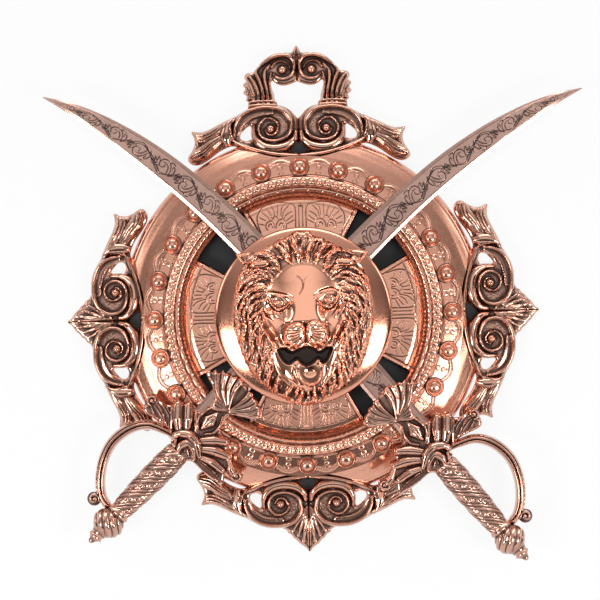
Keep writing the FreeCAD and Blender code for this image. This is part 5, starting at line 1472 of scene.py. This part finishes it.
def beard(relief):
    """Small curls under the chin."""
    ground = relief.height.copy()
    for x, z, lean in ((-9, -75, -20), (-3.5, -78, -8), (3, -79.5, 0), (9.5, -78, 10), (15, -75, 22),
            (-1, -84.5, -5), (7.5, -84.5, 8), (-15, -72, -30), (21, -71.5, 32)):
        dx, dz = 4.8 * math.sin(math.radians(lean)), -4.8 * math.cos(math.radians(lean))
        line = [(x - dx, z - dz), (x, z), (x + dx, z + dz)]
        relief.stroke(line, [1.6, 2.8, 0.7], [2.4, 3.4, 1.4], base=ground + 0.4)
        relief.engrave(line, 0.45, -0.9)


# %%
# Features
MOUTH_LINE = [(-27, -31.5), (-20.5, -30), (-12.5, -34), (-5, -31.2), (0, -29.4), (5.5, -29.6), (10, -31.4),
    (14.6, -34.8), (21.5, -30.8), (28, -31), (26, -38), (22.5, -44.6), (18, -47.2), (15.2, -44.2),
    (12.6, -42.6), (9.5, -46), (4, -48.8), (0, -49), (-3.2, -47), (-6.8, -43.2), (-9.2, -43.6), (-13, -46.4),
    (-17, -47.2), (-21.5, -44), (-25, -38)]
LEFT_EYE = {"ball": (-23.8, 14), "upper": [(-35, 22.4), (-29.7, 22.8), (-21.7, 21.2), (-13.8, 19),
    (-9.4, 16.8)], "lower": [(-34.4, 20.1), (-31, 12.1), (-24.4, 6.8), (-17.8, 9.5), (-11.1, 15.5)]}
RIGHT_EYE = {"ball": (24.8, 15.6), "upper": [(35.8, 21.8), (28.4, 25.4), (19, 23.4), (14.4, 21.2),
    (10.6, 18.2)], "lower": [(35.2, 20.4), (32.1, 13.6), (25.5, 8), (18.9, 10.8), (12.2, 17)]}


def eyes(relief):
    """Almond eyes with rings and lids, the folds under them, and the lines on the brow."""
    for side, eye in ((-1, LEFT_EYE), (1, RIGHT_EYE)):
        x, z = eye["ball"]
        relief.mass((x, z), (8.6, 6.4), 4.4, SEAT + 26.0, 0.6, lean=side * 10)
        for radius in (4.8, 2.5):
            relief.engrave(arc((x, z), radius, 0, 360, 30), 0.55, -1.0)
        relief.dome((x, z), 1.3, 0.8)
        ground = relief.height.copy()
        relief.stroke(eye["upper"], [0.8, 1.5, 1.7, 1.5, 0.8], [2, 4.2, 4.8, 4.4, 2.6], base=SEAT + 28.6)
        relief.engrave([(px, pz + 2.0) for px, pz in eye["upper"]], [0.7, 1.2, 1.2, 1, 0.5],
            [-1.2, -2.4, -2, -1.4, -0.5])
        relief.stroke(eye["lower"], [0.7, 1.2, 1.3, 1.2, 0.7], [1.4, 2.2, 2.4, 2.2, 1.4], base=ground + 0.6)
        relief.engrave([(px + side * 0.4, pz - 1.7) for px, pz in eye["lower"]], [0.6, 1, 1.1, 1, 0.6], -1.3)
    for line, halves, depths in (([(-39.4, 8.4), (-36.4, 2.2), (-30, -3.2)], [1, 1.9, 0.9],
            [-1.4, -3.2, -1.2]), ([(-34.6, 8.6), (-31.2, 2.6), (-26, -1.6)], [0.8, 1.4, 0.8],
            [0.6, 1.6, 0.6]), ([(-31, 5.4), (-26.6, -0.4), (-21.4, -2.8)], [0.6, 1.1, 0.6],
            [-0.5, -1.5, -0.5]), ([(39.6, 17.4), (37.2, 9), (30.6, -1.8)], [0.7, 1.5, 0.8], [0.8, 1.9, 0.8]),
            ([(35.8, 15.6), (33, 7.4), (26.8, -0.8)], [0.6, 1.2, 0.7], [-0.9, -2.2, -0.8]),
            ([(42.4, 13), (40, 5), (34, -4.6)], [0.6, 1.1, 0.6], [-0.6, -1.5, -0.6]),
            ([(-5.4, 39.6), (-0.6, 35.2), (0.2, 28.6), (-3.8, 21.6)], [0.35, 0.6, 0.6, 0.35], -0.75),
            ([(4.6, 39.6), (1.6, 35.6), (0.8, 31)], [0.3, 0.5, 0.3], -0.45)):
        relief.engrave(line, halves, depths)


def muzzle(relief):
    """Whisker pads with their grooves, the parting and the lips."""
    for side, x, z in ((-1, -8.6, -17.2), (1, 12.2, -16.2)):
        relief.mass((x, z), (11, 12), 6.6, SEAT + 36.0, 1.0, lean=side * 24)
        relief.mass((x - side * 3.4, z + 6.0), (6.6, 5.4), 6.0, SEAT + 37.4, 1.0, lean=side * 20)
        for k in range(6):
            start = (x - side * (8.8 - 0.3 * k), z + 4.6 - 1.2 * k)
            end = (x + side * (9.8 - 1.7 * k), z + 4.4 - 3.4 * k)
            middle = ((start[0] + end[0]) / 2 + side * 0.4, (start[1] + end[1]) / 2 - 1.4)
            relief.engrave([start, middle, end], [0.3, 0.95, 0.9], [-0.4, -1.6, -1.5])
        lip = [(x - side * 9.6, -25.6), (x - side * 3.2, -30.8), (x + side * 2.6, -32.6),
            (x + side * 9.6, -28.6), (x + side * 15.8, -29.8)]
        relief.stroke(lip, [1.2, 2.6, 2.6, 1.8, 0.9], [4.4, 6.4, 6.8, 4.6, 2.8], base=[SEAT + 30, SEAT + 29,
            SEAT + 28, SEAT + 25.5], soft=0.8)
        relief.engrave([(x + side * 11.4, z + 6), (x + side * 12.4, z - 3), (x + side * 9.0, z - 11.0)],
            [0.8, 1.3, 0.8], [-1.2, -2.8, -1.2])
    relief.engrave([(1.6, -9), (1.8, -16), (1.8, -25)], [0.5, 0.9, 1.6], [-0.3, -0.8, -1.8])
    for side in (-1, 1):
        fold = [(side * 39 + 1, 1), (side * 34 + 1, -10), (side * 28 + 1.5, -20), (side * 23.5 + 1.5, -31)]
        for shift, half, rise in ((0.0, 3.0, 3.6), (6.4, 2.2, 2.6)):
            run = [(x + side * shift, z - shift * 0.5) for x, z in fold]
            relief.engrave(run, [0.9, half, half, 1.0], [0.8, rise, rise, 0.8])
        relief.engrave([(x + side * 3.4, z - 2.0) for x, z in fold], [0.7, 1.3, 1.3, 0.7],
            [-0.6, -1.6, -1.6, -0.6])


def mouth(relief):
    """The open mouth, the lower lip with its canines, and the chin."""
    lower = [(-23, -45.6), (-16.4, -49.4), (-8.4, -46.6), (-4, -50.4), (2.5, -51.6), (9, -49.6),
        (13.2, -45.6), (18.6, -49.4), (24.5, -45.2)]
    relief.stroke(lower, [1.2, 2, 2.6, 1.9, 1.9, 1.9, 2.6, 2, 1.2], [4, 5.6, 8.4, 6, 5.6, 6, 8.4, 5.6, 4],
        base=SEAT + 22.0, soft=0.4)
    relief.mass((5, -54), (8, 7), -1.6, form="bell")
    chin = [(-5.8, -45.6), (-7, -52), (-4.6, -60), (0.4, -65.2), (5.4, -67), (10.8, -65.2), (14.8, -60),
        (16.6, -52), (14.8, -45)]
    relief.stroke(chin, [0.9, 1.5, 1.9, 2.2, 2.3, 2.2, 1.9, 1.5, 0.9], [7.4, 7.6, 8, 8.2, 8.4, 8.2, 8, 7.6,
        7.4], base=SEAT + 23.4, soft=0.5)
    for line in ([(-11.4, -49), (-11.6, -57), (-6.6, -65.6)], [(20.6, -49), (20.8, -57), (16.6, -65.6)]):
        relief.engrave(line, [0.8, 1.6, 0.8], [-1.2, -3, -1.2])
    for line in ([(-21.5, -41), (-18.6, -50), (-13.6, -59), (-8, -67.5)],
            [(27.5, -40), (25, -50), (21.6, -59), (16.4, -67.5)]):
        relief.stroke(line, [1.4, 3.2, 3.2, 1.6], [3.4, 5.2, 4.8, 2.6], base=SEAT + 23.0, soft=0.8)
    for side in (-1, 1):
        jowl = [(side * 27 + 1, -30), (side * 30 + 1, -41), (side * 26 + 1, -55), (side * 15 + 2, -69)]
        relief.stroke(jowl, [1.6, 2.6, 2.6, 1.4], [4, 5.6, 5.2, 3], base=SEAT + 22.0, soft=0.8)
    pit = mouth_depth(relief.x, relief.z)
    wall = SEAT + 1.2 + 34 * np.clip((pit + 2.0) / 2.4, 0, 1) ** 0.6 + 60 * np.clip(pit / 0.8, 0, 1)
    relief.height = np.minimum(relief.height, wall)


def mouth_depth(x, z):
    """How far points lie inside the open mouth, below zero, or outside it."""
    return signed(x, z, smooth(MOUTH_LINE + MOUTH_LINE[:1], 180))


def lion_drawing():
    """The whole mask as a height map."""
    relief = Relief((-71.5, -90.2), (71.5, 86.9), MASK_STEP, SEAT)
    head_masses(relief)
    face = relief.height.copy()
    mane(relief)
    inside = signed(relief.x, relief.z,
        np.vstack([smooth(FACE_EDGE, 90), smooth(sided(FACE_EDGE, -1)[::-1], 90)]))
    share = np.clip(0.5 - (inside + 3.0) / 4.4, 0, 1)
    share = share * share * (3 - 2 * share)
    relief.height = face * share + relief.height * (1 - share)
    hairline(relief)
    top_tuft(relief)
    beard(relief)
    muzzle(relief)
    eyes(relief)
    mouth(relief)
    edge = np.vstack([smooth(MANE_EDGE, 160), smooth(sided(MANE_EDGE, -1)[::-1], 160)])
    relief.outline(edge)
    relief.outside += 0.35 * np.sin(np.arctan2(relief.x, relief.z) * 46)
    for side in (-1, 1):
        relief.outline(sided([(34, 60), (42, 64.4), (54, 64.6), (65.6, 62.8), (60, 55.2), (54, 48)], side))
    relief.height = np.clip(relief.height, SEAT + 0.8, MASK_TOP)
    relief.soften(1)
    return relief


def face_depth(x, z):
    """How far points lie inside the hairline, below zero, or outside it."""
    return signed(x, z, np.vstack([smooth(FACE_EDGE, 60), smooth(sided(FACE_EDGE, -1)[::-1], 60)]))


FACE_RUBBED, HAIR_DARKENED = 0.22, 0.10


def rub_face_and_shade_mouth(made):
    """Rubs the face bright, leaves the hair darker, and paints the inside of the mouth fully dark as painted
    shade.
    """
    x, z, off = positions(made)
    marks = made.data.attributes["relief"].data
    value = np.empty(len(x), np.float32)
    marks.foreach_get("value", value)
    # Painted shade: points inside the open mouth, below the lips, are set to the darkest level to stand for
    # the shade in the mouth.
    deep = (mouth_depth(x, z) < 0.3) & (off < SEAT + 22)
    bare = np.clip(0.5 - face_depth(x, z) / 8.0, 0, 1)
    value += FACE_RUBBED * bare - HAIR_DARKENED * (1 - bare)
    marks.foreach_set("value", np.where(deep, -1.0, value).astype(np.float32))


rub_face_and_shade_mouth(piece("lion", *cast(lion_drawing(), MASK_BACK, 4.5), mask_copper, ["lion_mask"]))


# %% [markdown]
# ## Blades
# A sabre blade is a strip between two curves, its back and its belly. The grid of the strip follows both,
# so the bevels and the border lines run true to the point. The engraving is one repeat of a running vine,
# unrolled along the blade. It is cut shallow and marked dark, because old engraving shows less by its depth
# than by what has settled in it.

# %%
# The vine
VINE_REPEAT = 58.0
FIELD_HALF = 9.6
STRIP_HALF = 12.6


def leaf_curl(relief, flip, x):
    """A curled acanthus leaf that fills one bay of the vine."""
    def at(px, pz):
        return x + px, flip * pz
    for line in ([(-10, 5), (-8, -1.5), (-3, -6.6), (3, -6.4), (5.4, -2.2), (3.2, 1.2), (-0.6, 0.6),
            (-0.8, -2.6)], [(-7.2, 4.6), (-5.4, -0.6), (-2, -3.8), (2, -3.6)], [(5.4, -2.2), (9.4, -5.4),
            (8.4, -1), (12.4, -3.4), (10.4, 1), (14.6, -0.4), (11.4, 3.8)],
            [(3.2, 1.2), (7.6, 2.6), (11.4, 3.8)], [(6, 0.4), (9, 0.4)], [(7.4, 2), (11.6, 1.6)],
            [(-10, 5), (-12.6, 1), (-11.6, -3.6), (-9, -5), (-9.4, -1.4)], [(-3, -6.6), (-6.4, -7.8),
            (-9.6, -7)]):
        relief.engrave([at(*p) for p in line], [0.45, 0.78, 0.78, 0.5], -1.0)


def vine_drawing():
    """One repeat of the engraved vine: along the blade and across it."""
    relief = Relief((0.0, -STRIP_HALF), (VINE_REPEAT, STRIP_HALF), 0.3, 0.0)
    half = VINE_REPEAT / 2
    for shift in (-VINE_REPEAT, 0.0, VINE_REPEAT):
        for offset in (0.0, 1.9):
            stem = [(shift + half * k / 2,
                (7.4 - offset) * math.sin(math.pi * k / 2) + offset * math.cos(math.pi * k / 2))
                for k in range(-1, 6)]
            relief.engrave(stem, 0.58, -0.8, count=70)
        leaf_curl(relief, 1, shift + half / 2)
        leaf_curl(relief, -1, shift + half * 1.5)
    for side in (-1, 1):
        relief.engrave([(-1, side * FIELD_HALF), (VINE_REPEAT + 1, side * FIELD_HALF)], 0.5, -0.55)
    return relief


vine = vine_drawing()

# %%
# Two blades
BLADE_LENGTH = 527.0
BLADE_WIDE = 31.0
BLADE_THICK = 2.5
EDGE_THICK = 1.2
BEVEL = 3.0
BACK_SHARES = [(0.022, 0.55), (0.25, 1.05), (0.48, 1.42), (0.62, 1.49), (0.72, 1.43), (0.81, 1.22),
    (0.89, 0.88), (0.95, 0.48), (0.998, 0.02)]
BELLY_SHARES = [(0.022, -0.40), (0.25, 0.12), (0.48, 0.42), (0.62, 0.54), (0.72, 0.52), (0.81, 0.42),
    (0.89, 0.28), (0.95, 0.14), (0.998, -0.02)]
LEFT_GUARD, LEFT_GRIP_SLOPE, LEFT_BLADE_SLOPE, LEFT_OFF = (-118, -122), 44.0, 40.4, 27.9
RIGHT_GUARD, RIGHT_GRIP_SLOPE, RIGHT_BLADE_SLOPE, RIGHT_OFF = (127, -140), 50.5, 43.8, 30.4
ALONG_STEPS, ACROSS_STEPS = 1080, 80


def hilt_place(guard, slope, off, flip):
    """Puts a form drawn along a sword, with its origin at the guard, onto the plaque."""
    c, s = math.cos(math.radians(slope)), math.sin(math.radians(slope))

    def place(points):
        x = points[:, 0] * c - points[:, 1] * s
        z = points[:, 0] * s + points[:, 1] * c
        return np.column_stack([guard[0] + (-x if flip else x), guard[1] + z, points[:, 2] + off])
    return place


def blade(name, node, guard, slope, off, flip):
    """One engraved blade."""
    back, belly = [smooth([(a * BLADE_LENGTH, b * BLADE_WIDE) for a, b in shares],
        ALONG_STEPS) for shares in (BACK_SHARES, BELLY_SHARES)]
    share = np.linspace(0, 1, ACROSS_STEPS)[None, :, None]
    grid = belly[:, None, :] * (1 - share) + back[:, None, :] * share
    wide = np.hypot(*(back - belly).T)[:, None]
    edge = np.minimum(share[:, :, 0], 1 - share[:, :, 0]) * wide
    bevel = np.minimum(BEVEL, wide * 0.22)
    face = EDGE_THICK + (BLADE_THICK - EDGE_THICK) * np.clip(edge / bevel, 0, 1)
    along = grid[:, :, 0] % VINE_REPEAT
    across = (share[:, :, 0] * 2 - 1) * STRIP_HALF + 0 * wide
    cut = read(vine, along, across)
    fade = np.clip((wide - 5) / 12, 0, 1)
    start = np.clip((grid[:, :, 0] - 60) / 4, 0, 1)
    front = face + cut * 0.26 * fade * start
    rows, columns = front.shape
    top = np.column_stack([grid.reshape(-1, 2), front.ravel()])
    low = np.column_stack([grid[:, ::ACROSS_STEPS - 1].reshape(-1, 2), np.zeros(rows * 2)])
    index = np.arange(rows * columns).reshape(rows, columns)
    foot = rows * columns + np.arange(rows * 2).reshape(rows, 2)
    faces = [skin_faces(rows, columns)]
    for upper, lower in ((index[:, 0], foot[:, 0]), (index[:, -1], foot[:, 1])):
        faces.append(np.column_stack([upper[:-1], upper[1:], lower[1:], lower[:-1]]))
    faces.append(np.column_stack([foot[:-1, 0], foot[1:, 0], foot[1:, 1], foot[:-1, 1]]))
    points = np.vstack([top, low])
    for row in (0, -1):
        cap = [[index[row, k], index[row, k + 1], foot[row, 0]] for k in range(columns - 1)]
        cap.append([index[row, -1], foot[row, 1], foot[row, 0]])
        faces.append(np.array(cap))
    made = piece(name, points, faces, blade_copper, [node], "copper_blade",
        hilt_place(guard, slope, off, flip), sharp=math.radians(24))
    ink(made, lambda x, z, out: blade_lines(x, z, out, back, belly, guard, slope, off, flip))
    return made


def blade_lines(x, z, out, back, belly, guard, slope, off, flip):
    """The vine at points of a blade."""
    dx, dz = (x - guard[0]) * (-1 if flip else 1), z - guard[1]
    c, s = math.cos(math.radians(slope)), math.sin(math.radians(slope))
    along, up = dx * c + dz * s, dz * c - dx * s
    low, high = [np.interp(along, *curve.T) for curve in (belly, back)]
    across = ((up - low) / np.maximum(high - low, 1e-3) * 2 - 1) * STRIP_HALF
    fade = np.clip((high - low - 4) / 8, 0, 1) * (along > 60) * (out > off + EDGE_THICK + 0.3)
    return 1.35 * read(vine, along % VINE_REPEAT, across) * fade


blade("blade_of_left_sword", "left_sword_blade", LEFT_GUARD, LEFT_BLADE_SLOPE, LEFT_OFF, False)
blade("blade_of_right_sword", "right_sword_blade", RIGHT_GUARD, RIGHT_BLADE_SLOPE, RIGHT_OFF, True)


# %% [markdown]
# ## Hilts
# The grip and the pommel are round, so they are turned, with ridges that wind round them. The guard, its
# fan and the knuckle bow are reliefs. Both hilts are drawn along the sword: the grip lies along -x, and
# the blade along +x.

# %%
# Round parts of a hilt
GRIP_PITCH = 18.5
GRIP_STARTS = 4
ROUND_STEPS = 150
HILT_MID = 1.25


def bar(stations, radii, steps, ripple):
    """A turned bar along x whose radius is changed by a rule of place and turn; closed at both ends."""
    angle = 2 * np.pi * np.arange(steps) / steps
    reach = np.array(radii)[:, None] + ripple(np.array(stations)[:, None], angle[None, :])
    x = np.repeat(stations, steps)
    points = np.column_stack([x, (reach * np.cos(angle)).ravel(), (reach * np.sin(angle)).ravel() + HILT_MID])
    rows = len(stations)
    ends = np.array([[stations[0], 0, HILT_MID], [stations[-1], 0, HILT_MID]])
    first, last = np.arange(steps), np.arange(steps) + (rows - 1) * steps
    caps = [np.column_stack([np.full(steps, rows * steps), np.roll(first, -1), first]),
        np.column_stack([np.full(steps, rows * steps + 1), last, np.roll(last, -1)])]
    return np.vstack([points, ends]), [skin_faces(rows, steps, close_columns=True)] + caps


def grip_ripple(x, angle):
    """Two round cords and a beaded band that wind round the grip."""
    phase = ((x / GRIP_PITCH) - GRIP_STARTS * angle / (2 * np.pi)) % 1
    cords = sum(np.exp(-((phase - spot) / 0.075) ** 2) for spot in (0.14, 0.38))
    band = np.exp(-((phase - 0.71) / 0.19) ** 4)
    beads = 0.5 + 0.5 * np.sin(angle * 9 + x * 0.9) * np.cos((phase - 0.71) * 15)
    return 1.35 * cords + band * (0.35 + 0.85 * beads) - 0.9


def pommel_ripple(x, angle):
    """Lobes that wind round the ball."""
    share = np.clip((x + 124) / 24, 0, 1)
    lobes = np.abs(np.sin(3.5 * (angle + (x + 112) * 0.11)))
    return np.sin(share * np.pi) ** 0.6 * (1.9 * lobes - 1.1) * (x > -124.5) * (x < -101)


GRIP_RADII = [(-14, 11.6), (-22, 13), (-45, 13.4), (-70, 12.6), (-90, 11), (-97, 10.4)]
POMMEL_RADII = [(-96, 10.2), (-98, 11.6), (-100, 12.2), (-101.4, 11), (-102.4, 10.6), (-104, 12),
    (-108, 14.4), (-113, 15.6), (-118, 14.6), (-122, 12), (-124.6, 9.6), (-126, 8), (-128, 7.4),
    (-129.6, 6.6)]
TIP_RADII = [(-129, 6), (-130.4, 7.2), (-132.2, 7.4), (-133.8, 5.6), (-136, 3.4), (-138.6, 2.6), (-140, 1)]


def turned_hilt(side, guard, slope, off, flip):
    """Grip, pommel and the button at its end."""
    put = hilt_place(guard, slope, off, flip)
    for part, table, count, ripple in (("grip", GRIP_RADII, 190, grip_ripple), ("pommel", POMMEL_RADII, 84,
            pommel_ripple), ("pommel_nut", TIP_RADII, 30, lambda x, angle: 0 * x + 0 * angle)):
        line = smooth(table, count)
        points, faces = bar(line[:, 0], line[:, 1], ROUND_STEPS, ripple)
        piece(f"{part}_of_{side}_sword", points, faces, hilt_copper, [f"{side}_sword_{part}"], place=put)


# %%
# The guard and the bow
GUARD_BACK = -3.4
GUARD_LEVEL = 4.0
ARM_SWELL = 1.3
HILT_TURN = -44.0
FAN_REACHES = [25, 30, 35, 39, 41, 41, 41, 41, 40, 38, 34, 28, 20]


def along_hilt(points):
    """Points of the left hilt, given where they lie on the plaque, as places along the sword."""
    c, s = math.cos(math.radians(HILT_TURN)), math.sin(math.radians(HILT_TURN))
    return [((x - LEFT_GUARD[0]) * c - (z - LEFT_GUARD[1]) * s,
        (x - LEFT_GUARD[0]) * s + (z - LEFT_GUARD[1]) * c) for x, z in points]


def guard_drawing():
    """Knot, arms, langet and fan, drawn from their places on the left of the plaque."""
    relief = Relief((-34, -66), (98, 66), 0.5, GUARD_LEVEL)

    def lay(points, half, rise, base=None, form="round", soft=0.3, count=0, swell=1.0):
        relief.stroke(along_hilt(points), np.array(half) * swell, rise, form, base, soft, count)

    for line, halves in (([(-141, -104), (-146, -94), (-152, -84), (-158, -84)], [3, 5, 4, 2]),
            ([(-137, -108), (-137, -98), (-141, -88), (-146, -82)], [3, 5, 4, 2.4])):
        lay(line, halves, [5.5, 6.5, 6, 4], 2.5, "hollow")
    for line, halves, rises, base in (([(-126.5, -112), (-127.6, -98), (-127, -85.5)], [3.2, 5, 4.8],
            [6, 8.6, 7.4], 3.4), ([(-119, -112), (-117.4, -98), (-116.4, -86.5)], [2.8, 4.3, 4.2],
            [6, 8.4, 7.2], 3.4), ([(-111.5, -117), (-108.8, -106), (-109.6, -95)], [1.6, 2.8, 2],
            [4.5, 6.2, 4.6], 3.0), ([(-134.6, -112), (-133.6, -99), (-133, -88)], [1.2, 1.9, 1.2],
            [4.5, 6, 4], 3.6), ([(-106, -121.5), (-93, -121), (-80.5, -122.6)], [3.4, 4.6, 3.6],
            [6.4, 8.2, 6.4], 3.2), ([(-106, -129.4), (-92, -131.6), (-78.5, -137.6)], [3.2, 4.6, 3.4],
            [6, 7.8, 6], 3.2), ([(-106, -137.4), (-95, -142.6), (-85, -151)], [2.6, 3.8, 3], [5.4, 6.8, 5.2],
            3.0)):
        lay(line, halves, rises, base, swell=ARM_SWELL)
    lay([(-112, -139.5), (-103, -147.5), (-93, -156.5), (-86, -164)], [2.6, 4.2, 3.6, 1.4],
        [5, 6.2, 5.4, 3.2], 2.6, "hollow")
    lay([(-79, -141), (-76.5, -150), (-72.4, -158)], [2.2, 3.2, 2.4], [5, 6.2, 5], 3.0, swell=ARM_SWELL)
    for centre, start, turns in (((-152, -79.4), 250, -1.3), ((-70.4, -156.8), 200, 1.3)):
        lay(spiral(centre, 5.4, 1.6, start, turns), [1.9, 1.7, 1.3], [6.2, 6.4, 5.6], 3.6)
        x, z = along_hilt([centre])[0]
        relief.dome((x, z), 1.9, 6.4, 3.6)
    lay([(-134.4, -118.6), (-127, -113.4), (-116.4, -114.8), (-109.6, -123), (-107, -136.4)],
        [3.4, 4.8, 5.6, 5.2, 3], [6, 8.4, 9.4, 8.6, 5.6], 5.0, soft=0.6)
    lay([(-129.5, -134), (-125.5, -125.5), (-118, -122.6), (-113.5, -128), (-112, -138.4)],
        [2.2, 4.4, 5, 4.4, 2.2], [6.6, 9, 9.6, 8.6, 5.4], 3.8, soft=0.6)
    lay([(-133.4, -130.5), (-131, -124), (-129.5, -119.5)], [1.8, 2.8, 2], [5.6, 7.6, 5.6], 4.0)
    lay([(-122, -131), (-119.5, -127.5), (-117.4, -136)], [1, 1.8, 0.8], 1.2, form="bell")
    leaf = [(-104.4, -109.4), (-97, -102.6), (-87.6, -93.6)]
    lay(leaf, [1, 7.2, 1], [2, 5.4, 2], 6.2)
    lay(leaf, [0.5, 4.6, 0.5], [-0.8, -1.5, -0.8], form="bell")
    lay(leaf, [0.4, 1.5, 0.4], [0.8, 2, 0.8])
    for line in ([(-108, -103), (-105.5, -96.5), (-98, -90.5), (-89, -88)], [(-101, -114.6), (-92, -113.4),
            (-85.4, -106), (-82.6, -97)]):
        lay(line, [1.2, 2, 1.8, 1], [4, 5, 4.6, 3], 4.4)
    root = np.array((-77.0, -92.5))
    for k, long in enumerate(FAN_REACHES):
        turn = math.radians(152 - 15.2 * k)
        bend = 0.20 * (1 if turn > math.radians(58) else -1)
        end = root + long * np.array((math.cos(turn), math.sin(turn)))
        middle = root + 0.55 * long * np.array((math.cos(turn + bend), math.sin(turn + bend)))
        lay([root, middle, end], [0.8, 3.2, 4.6], [3.2, 4.8, 4.2], 5.4, soft=0.15)
        lay([middle, end], [0.4, 1], [-0.5, -1.3], form="bell")
        for ridge in (-1, 1):
            side = np.array((math.sin(turn), -math.cos(turn))) * ridge
            lay([middle, end + side * 2.6], [0.4, 0.8], [-0.3, -0.8], form="bell")
    outline = [(-132, -118), (-136.4, -110), (-142.6, -103), (-151.6, -97.4), (-160.4, -91.6), (-161.2, -86),
        (-157.6, -79), (-154, -73.4), (-148, -74), (-145.2, -79.4), (-138.6, -84), (-132.4, -84.4),
        (-130, -80.4), (-125, -79.8), (-121.6, -83.4), (-118.6, -82), (-113.6, -82), (-111.4, -88),
        (-108, -91), (-103.6, -92.4), (-99.4, -88.6), (-93.4, -84.6), (-90.4, -76), (-92.6, -66),
        (-98.4, -54.2), (-94.4, -51.6), (-92.2, -53.8), (-88.4, -50.8), (-85.6, -53.6), (-81, -51.6),
        (-78.8, -54.6), (-74.2, -54.4), (-71.6, -57.8), (-66.4, -58.4), (-62, -61.4), (-60.6, -66.4),
        (-57.2, -68.4), (-56, -73), (-52.2, -75), (-51.4, -79.6), (-47.6, -82.4), (-47.4, -87),
        (-44.6, -90.4), (-45.4, -95), (-43.6, -98.4), (-46.4, -101), (-56, -100.6), (-66, -98), (-76, -96.4),
        (-81.4, -100), (-83.4, -107.4), (-85, -113.6), (-83, -117.4), (-77, -120.4), (-77.4, -127.4),
        (-79.4, -130.4), (-74.6, -134.4), (-75.4, -142), (-71.6, -149), (-65.4, -152.6), (-64.6, -159.4),
        (-69.6, -163.4), (-76, -162), (-78.4, -156.4), (-82, -154), (-83.4, -160.4), (-86, -167.4),
        (-91, -163), (-97, -159), (-104, -152.6), (-110.4, -146), (-116, -141.4), (-122, -141),
        (-130, -136.4), (-135.4, -129), (-135, -121)]
    relief.outline(smooth(along_hilt(outline + outline[:1]), 420))
    relief.soften(1)
    return relief


BOW_LINE = [(-5, 13), (-8, 24), (-15.5, 40), (-31, 50.5), (-52, 53.5), (-72, 47.5), (-89, 35.5),
    (-98.5, 23.5), (-101, 14.5)]
BOW_HALF = [3.2, 4.6, 5.2, 5.6, 5.6, 5.4, 5.2, 5, 4.4]


def bow_drawing():
    """The knuckle bow: a band with two ridges and a groove, and a curl at its end."""
    relief = Relief((-120, 6), (4, 64), 0.5, -2.0)
    relief.stroke(BOW_LINE, BOW_HALF, 5.4, "broad", base=-1.6, count=80)
    path = smooth(BOW_LINE, 80)
    flow = np.gradient(path, axis=0)
    across = np.column_stack([-flow[:, 1], flow[:, 0]]) / np.hypot(*flow.T)[:, None]
    for shift, half, rise in ((2.9, 1.9, 2.2), (-1.2, 1.5, 1.8), (-4.0, 1.0, 1.2)):
        relief.stroke(path + across * shift, half, rise, soft=0.2, count=80)
    relief.engrave(path + across * 0.7, 0.7, -1.0, count=80)
    relief.engrave(path - across * 2.8, 0.6, -0.9, count=80)
    relief.stroke(spiral((-106, 27), 5.4, 1.8, 300, 1.2), [2, 1.8, 1.4], [6.6, 6.8, 6], base=-1.6)
    relief.dome((-106, 27), 2.2, 6.6, -1.0)
    away, share, _ = reach(relief.x, relief.z, path)
    band = away - np.interp(share, np.linspace(0, 1, len(BOW_HALF)), BOW_HALF)
    relief.outside = np.minimum(band, np.hypot(relief.x + 106.0, relief.z - 27.0) - 7.0)
    relief.soften(1)
    return relief


guard_cast = cast(guard_drawing(), GUARD_BACK, 3.0)
bow_cast = cast(bow_drawing(), -3.2, 3.6)
for side, guard, slope, off, flip in (("left", LEFT_GUARD, LEFT_GRIP_SLOPE, LEFT_OFF, False),
        ("right", RIGHT_GUARD, RIGHT_GRIP_SLOPE, RIGHT_OFF, True)):
    put = hilt_place(guard, slope, off, flip)
    turned_hilt(side, guard, slope, off, flip)
    piece(f"guard_of_{side}_sword", *guard_cast, hilt_copper, [f"{side}_sword_guard"], place=put)
    piece(f"bow_of_{side}_sword", *bow_cast, hilt_copper, [f"{side}_sword_knuckle_bow"], place=put)
